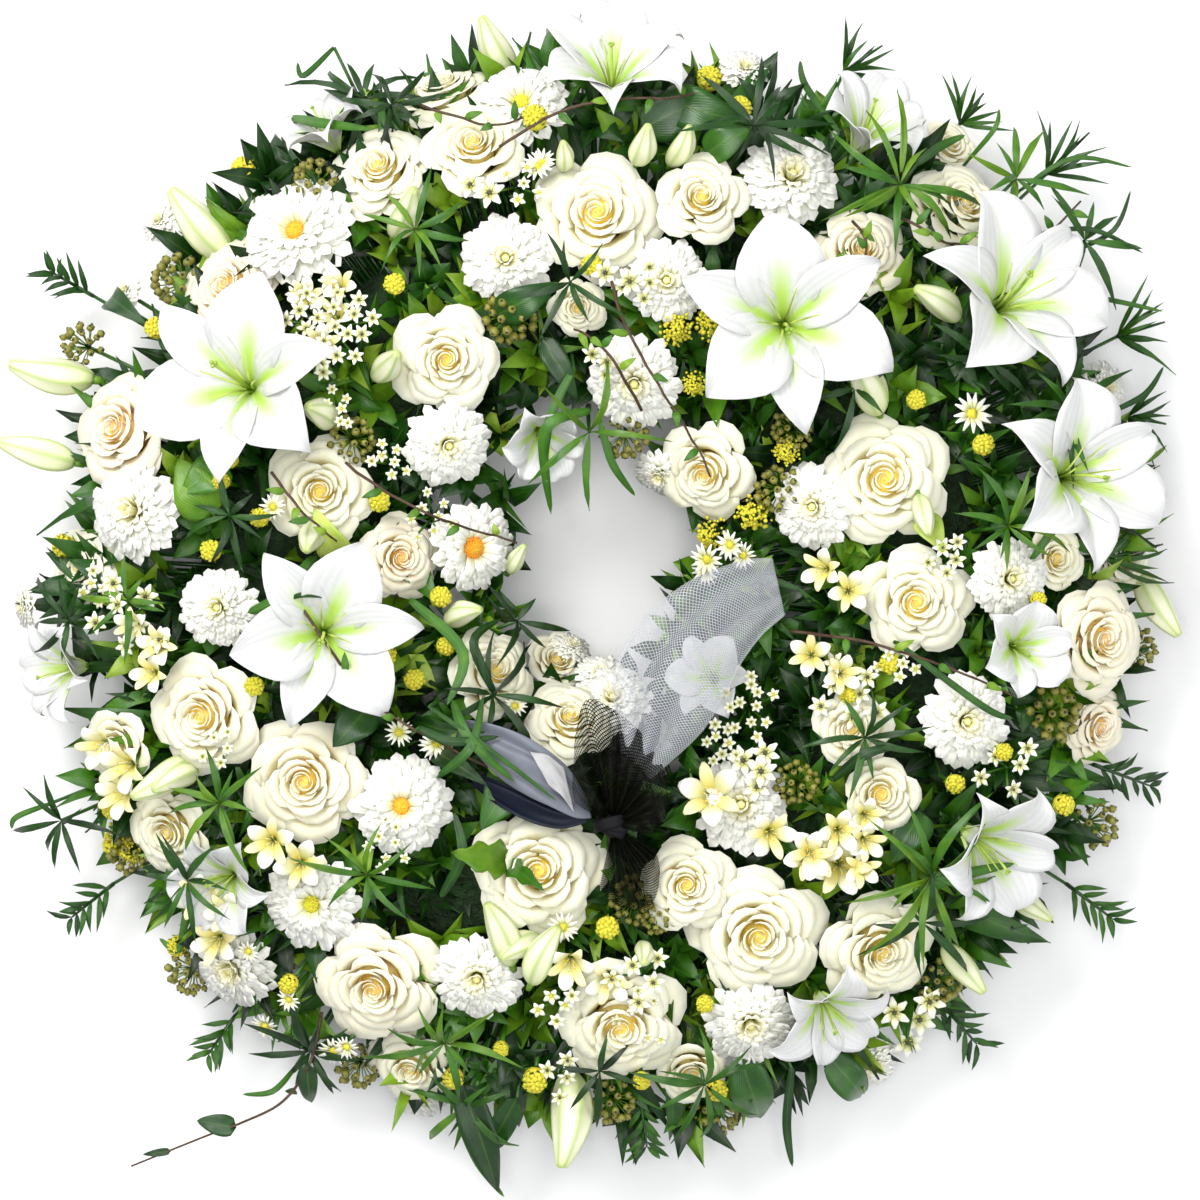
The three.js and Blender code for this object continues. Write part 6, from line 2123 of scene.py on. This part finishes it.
# The gathered lengths through rows of their width: plan middle, height in millimetres, half width
# along x and y, and how high the folds stand.
SATIN: tuple[Row, ...] = (
    (590, 796, 139, 2, 9, 0.6), (574, 781, 144, 3, 22, 2.0), (552, 767, 149, 4, 27, 3.4),
    (526, 754, 150, 6, 29, 4.0), (500, 741, 146, 6, 25, 3.4), (476, 727, 139, 4, 14, 2.0),
)
# The fold at the tail's end, painted pale grey as a highlight where light catches the satin.
FOLD_WITH_PAINTED_HIGHLIGHT: tuple[Row, ...] = (
    (571, 778, 150, 5, 22, 1.0), (558, 765, 154, 7, 20, 1.6), (543, 757, 154, 9, 16, 1.6),
)
# The navy side turned out below the tail; its near black also paints the shadow under the tail.
NAVY_SIDE_AND_PAINTED_SHADOW: tuple[Row, ...] = (
    (588, 802, 137, 1, 8, 0.6), (560, 803, 138, 2, 13, 2.2), (528, 794, 136, 4, 16, 3.0),
    (498, 780, 131, 3, 13, 2.4), (478, 768, 127, 2, 8, 1.2),
)
PALE_NET: tuple[Row, ...] = (
    (630, 770, 150, 9, 5, 2.0), (643, 736, 157, 26, 12, 4.0), (655, 698, 162, 44, 20, 5.0),
    (678, 655, 160, 44, 28, 5.0), (708, 620, 153, 27, 36, 4.0), (742, 597, 148, 10, 35, 3.0),
    (768, 587, 142, 6, 27, 2.0),
)

# The black fans: for headings in degrees, how far the edge lies from the knot in plan units.
UPPER_FAN: tuple[tuple[float, float], ...] = (
    (148, 42), (124, 66), (111, 96), (102, 121), (93, 114), (84, 103), (70, 89), (54, 76), (31, 60),
    (4, 48),
)
INNER_FAN: tuple[tuple[float, float], ...] = ((104, 62), (88, 70), (66, 62), (40, 50), (14, 42), (-12, 38))
LOWER_FAN: tuple[tuple[float, float], ...] = ((-30, 46), (-48, 66), (-66, 84), (-84, 78), (-102, 60))


@dataclass(frozen=True)
class Cloth:
    """A gathered length of ribbon or net laid through rows of its width."""

    rows: tuple[Row, ...]
    folds: float
    across: int
    along_it: int
    slot: int
    thick: float = 0.0003

    def spot(self, u: float, v: float) -> Vector:
        """Where a point of the cloth lies."""
        x, y, z, dx, dy, fold = along(self.rows, v)
        wave = math.cos(math.pi * self.folds * u + 1.3 * v + 0.7 * math.sin(3.0 * u + 4.0 * v))
        crumple = noise.noise(Vector((u * 2.3, v * 4.1, self.folds)))
        slide = 0.05 * math.sin(math.pi * self.folds * u) + 0.03 * math.sin(9.0 * v)
        at = plan_point(x + dx * (u + slide), y + dy * (u + slide), z * MM)
        return at + Vector((0.0, 0.0, fold * MM * 0.5 * (wave + crumple)))

    def add_to(self, growth: Growth) -> tuple[float, float]:
        """Adds the cloth and returns its flat width and length."""
        growth.sheet(self.across, self.along_it, self.spot, self.thick, self.slot, 0.0)
        return self.flat()

    def flat(self) -> tuple[float, float]:
        """The flat width and length, measured across the rows and along the middle."""
        return flat_size(self.spot)


@dataclass(frozen=True)
class Fan:
    """A fan of net, pleated from the knot out to its edge."""

    edge: tuple[tuple[float, float], ...]
    pleats: float
    base: float
    rise: float
    across: int
    along_it: int
    knot: tuple[float, float] = (612.0, 812.0)

    def spot(self, u: float, v: float) -> Vector:
        """Where a point of the fan lies."""
        heading, reach = along(self.edge, (u + 1.0) / 2.0)
        angle = math.radians(heading)
        out = 5.0 + (reach - 5.0) * v
        at = plan_point(self.knot[0] + out * math.cos(angle), self.knot[1] - out * math.sin(angle), self.base)
        deep = 0.0036 * min(1.0, 0.25 + v) * (1.0 - 0.6 * v * v)
        pleat = math.cos(math.pi * self.pleats * u + 0.8 * math.sin(5.0 * u)) * deep
        crumple = noise.noise(Vector((u * 3.0, v * 3.0, self.pleats)))
        flop = self.rise * math.sin(math.pi * 0.62 * v) + 0.0016 * crumple
        return at + Vector((0.0, 0.0, pleat + flop))

    def add_to(self, growth: Growth) -> tuple[float, float]:
        """Adds the fan and returns its flat width and length."""
        growth.sheet(self.across, self.along_it, self.spot, 0.0003, 0, 0.0)
        return flat_size(self.spot)


def flat_size(spot: Place) -> tuple[float, float]:
    """The mean width and length of a cloth laid flat."""
    steps = 60
    line = [spot(0.0, k / steps) for k in range(steps + 1)]
    length = sum((b - a).length for a, b in zip(line, line[1:]))
    widths = []
    for v in (0.05, 0.25, 0.5, 0.75, 0.95):
        row = [spot(k / steps * 2.0 - 1.0, v) for k in range(steps + 1)]
        widths.append(sum((b - a).length for a, b in zip(row, row[1:])))
    return sum(widths) / len(widths), length


@dataclass
class Bow:
    """The bow under the hole: a black net fan with its knot, a pale net ribbon and a satin tail."""

    def build(self) -> None:
        """Makes the three pieces."""
        self.fan()
        self.net()
        self.tail()

    def fan(self) -> None:
        """Three black fans, one over another, and the knot that gathers them."""
        piece = Piece("bow_fan_net", "bow_fan", "bow_fan")
        fans = (
            Fan(UPPER_FAN, 6.0, 0.134, 0.024, 84, 16),
            Fan(INNER_FAN, 6.0, 0.138, 0.024, 70, 12),
            Fan(LOWER_FAN, 7.0, 0.132, 0.006, 64, 12),
        )
        sizes = [fan.add_to(piece.growth) for fan in fans]
        self.knot(piece.growth)
        palette = [
            Net(
                "black_net",
                0.55,
                colour=(0.002, 0.002, 0.001),
                cut=sizes[0],
                pitch=0.0025,
                thread=0.28,
                veil=0.12,
                gathered=0.5,
            ).material(),
            Satin("black_knot", 0.7, bump=0.3, colour=(0.0, 0.0, 0.001)).material(),
        ]
        made = piece.make(palette)

    def knot(self, growth: Growth) -> None:
        """The wound knot: three turns of black ribbon round the neck of the fans."""
        middle = plan_point(612, 812, 0.138)
        for k in range(3):
            tilt = Matrix.Rotation(math.radians(62 + 22 * k), 3, "Z")

            def place(u: float, v: float, tilt: Matrix = tilt, k: int = k) -> Vector:
                angle = math.tau * v
                grow = 1.0 + 0.08 * k + 0.05 * math.sin(3.0 * angle + k)
                across = 0.0035 * u + 0.002 * (k - 1)
                round_it = Vector((across, 0.0095 * grow * math.cos(angle), 0.0078 * grow * math.sin(angle)))
                return middle + tilt @ round_it

            growth.sheet(4, 24, place, 0.0006, 1, 0.0)
        growth.ball(middle, 0.0078, 1, 0.0, 2, 0.2)

    def net(self) -> None:
        """The pale net ribbon that lies from the knot to the flowers right of the hole."""
        piece = Piece("bow_net_band", "bow_net", "bow_net")
        cloth = Cloth(PALE_NET, 3.0, 48, 48, 0)
        size = cloth.add_to(piece.growth)
        grey = (0.38, 0.39, 0.42)
        finish = Net("pale_net", 0.6, colour=grey, cut=size, pitch=0.0019, thread=0.2, veil=0.14)
        made = piece.make([finish.material()])

    def tail(self) -> None:
        """The satin tail: grey-blue, with its navy side turned out below, near black so that it also serves
        as painted shadow under the tail, and a fold at its end painted pale as a highlight.
        """
        piece = Piece("bow_tail_satin", "bow_tail", "bow_tail")
        sizes = [
            Cloth(SATIN, 2.4, 36, 40, 0, 0.0006).add_to(piece.growth),
            Cloth(NAVY_SIDE_AND_PAINTED_SHADOW, 1.4, 16, 32, 1, 0.0006).add_to(piece.growth),
            Cloth(FOLD_WITH_PAINTED_HIGHLIGHT, 1.2, 16, 12, 2, 0.0006).add_to(piece.growth),
        ]
        palette = [
            Satin("grey_blue_satin", 0.45, bump=0.2, colour=(0.12, 0.13, 0.155)).material(),
            # Painted shadow: the navy side is near black so that it also stands for the shadow under the
            # tail.
            Satin("navy_satin_and_painted_shadow", 0.5, bump=0.2, colour=(0.0, 0.002, 0.01)).material(),
            # Painted highlight: a lighter grey copy of the satin on the fold.
            Satin("satin_painted_highlight", 0.45, bump=0.2, colour=(0.3, 0.3, 0.3)).material(),
        ]
        made = piece.make(palette)


# The base and the studio


BOTTLE_GREEN: Colour = (0.006, 0.028, 0.012)
PINE_GREEN: Colour = (0.01, 0.042, 0.018)
WET_GREEN: Colour = (0.016, 0.07, 0.03)
FOAM_GREEN: Colour = (0.04, 0.15, 0.07)
FLOOR_LOW: Colour = (0.88, 0.88, 0.88)
FLOOR_HIGH: Colour = (0.91, 0.91, 0.91)


@dataclass(frozen=True)
class Base:
    """The tray and the foam of the frame, which stay as they are and get their finishes."""

    def dress(self) -> None:
        """Gives both nodes their materials."""
        finishes = {
            "tray": Solid("moulded_plastic", 0.42, 0.15, low=BOTTLE_GREEN, high=PINE_GREEN, scale=220.0),
            "foam": Solid("wet_foam", 0.95, 0.9, low=WET_GREEN, high=FOAM_GREEN, scale=900.0),
        }
        for node, finish in finishes.items():
            for item in bpy.data.objects:
                if item.type == "MESH" and item.get("of_node", item.name) == node:
                    material = finish.material()
                    if item.material_slots:
                        item.material_slots[0].material = material
                    else:
                        item.data.materials.append(material)


@dataclass(frozen=True)
class Studio:
    """A pale floor, soft light from the upper left and a camera straight above."""

    camera_height: float = 2.4
    exposure: float = -0.1
    aim: tuple[float, float] = (0.0, -0.0065)

    def build(self) -> None:
        """Makes the floor, the lights, the sky and the camera."""
        self.floor()
        self.light("key_light", (-0.9, 1.2, 1.9), 1.1, 52.0, (1.0, 0.99, 0.97))
        self.light("top_light", (0.0, 0.0, 2.6), 0.9, 26.0, (1.0, 1.0, 1.0))
        self.light("fill_light", (1.5, -0.9, 1.6), 1.6, 16.0, (0.97, 0.985, 1.0))
        bpy.context.scene.view_settings.view_transform = "Standard"
        bpy.context.scene.view_settings.exposure = self.exposure
        self.sky()
        self.camera()

    def floor(self) -> None:
        """A wide pale floor with the faintest mottling."""
        mesh = bmesh.new()
        bmesh.ops.create_grid(mesh, x_segments=8, y_segments=8, size=4.0)
        data = bpy.data.meshes.new("studio_floor")
        mesh.to_mesh(data)
        mesh.free()
        floor = bpy.data.objects.new("studio_floor", data)
        bpy.context.scene.collection.objects.link(floor)
        finish = Solid("pale_floor", 0.85, low=FLOOR_LOW, high=FLOOR_HIGH, scale=3.0)
        data.materials.append(finish.material())

    def light(self, name: str, at: Colour, size: float, power: float, colour: Colour) -> None:
        """A square area light that faces the wreath."""
        data = bpy.data.lights.new(name, "AREA")
        data.shape, data.size, data.energy, data.color = "SQUARE", size, power, colour
        lamp = bpy.data.objects.new(name, data)
        lamp.location = at
        lamp.rotation_mode = "QUATERNION"
        lamp.rotation_quaternion = (Vector((0.0, 0.0, 0.08)) - Vector(at)).to_track_quat("-Z", "Y")
        bpy.context.scene.collection.objects.link(lamp)

    def sky(self) -> None:
        """An even, near-white surround."""
        world = bpy.data.worlds.new("studio_sky")
        world.use_nodes = True
        back = world.node_tree.nodes["Background"]
        back.inputs["Color"].default_value = (0.97, 0.98, 1.0, 1.0)
        back.inputs["Strength"].default_value = 0.62
        bpy.context.scene.world = world

    def camera(self) -> None:
        """The camera of the photo: straight above, the photo's top edge towards +Y."""
        data = bpy.data.cameras.new("camera")
        data.type, data.lens, data.sensor_width, data.sensor_height = "PERSP", 110.8, 36.0, 36.0
        data.sensor_fit = "AUTO"
        data.dof.use_dof = False
        camera = bpy.data.objects.new("camera", data)
        camera.location = (self.aim[0], self.aim[1], self.camera_height)
        bpy.context.scene.collection.objects.link(camera)
        bpy.context.scene.camera = camera


def slot_of(node: str) -> str:
    """The record's material slot of a spray."""
    kind = node.rsplit("_", 1)[0]
    return {"rose": "rose_petals", "lily": "lily_petals"}.get(kind, "small_flowers")


def main() -> None:
    """Builds the scene round the frame."""
    logging.basicConfig(level=logging.WARNING)
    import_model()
    EFFECTS.build()
    STOCK.build()
    palette = [PLANT_FINISHES[slot].material() for slot in Slot]
    for node, blooms in SPRAYS.items():
        piece = Piece(f"{node}_blooms", node, slot_of(node))
        planting = Planting(piece.growth, random.Random(sum(ord(c) * (i + 7) for i, c in enumerate(node))))
        for bloom in blooms:
            planting.flower(bloom)
        piece.make(palette)
    for index in range(1, 7):
        bed = LeafBed(index)
        bed.build()
        Piece(f"leaves_{index}_foliage", f"leaves_{index}", "leaves", bed.growth).make(palette)
    Bow().build()
    STOCK.discard()
    Base().dress()
    Studio().build()


if __name__ == "__main__":
    main()
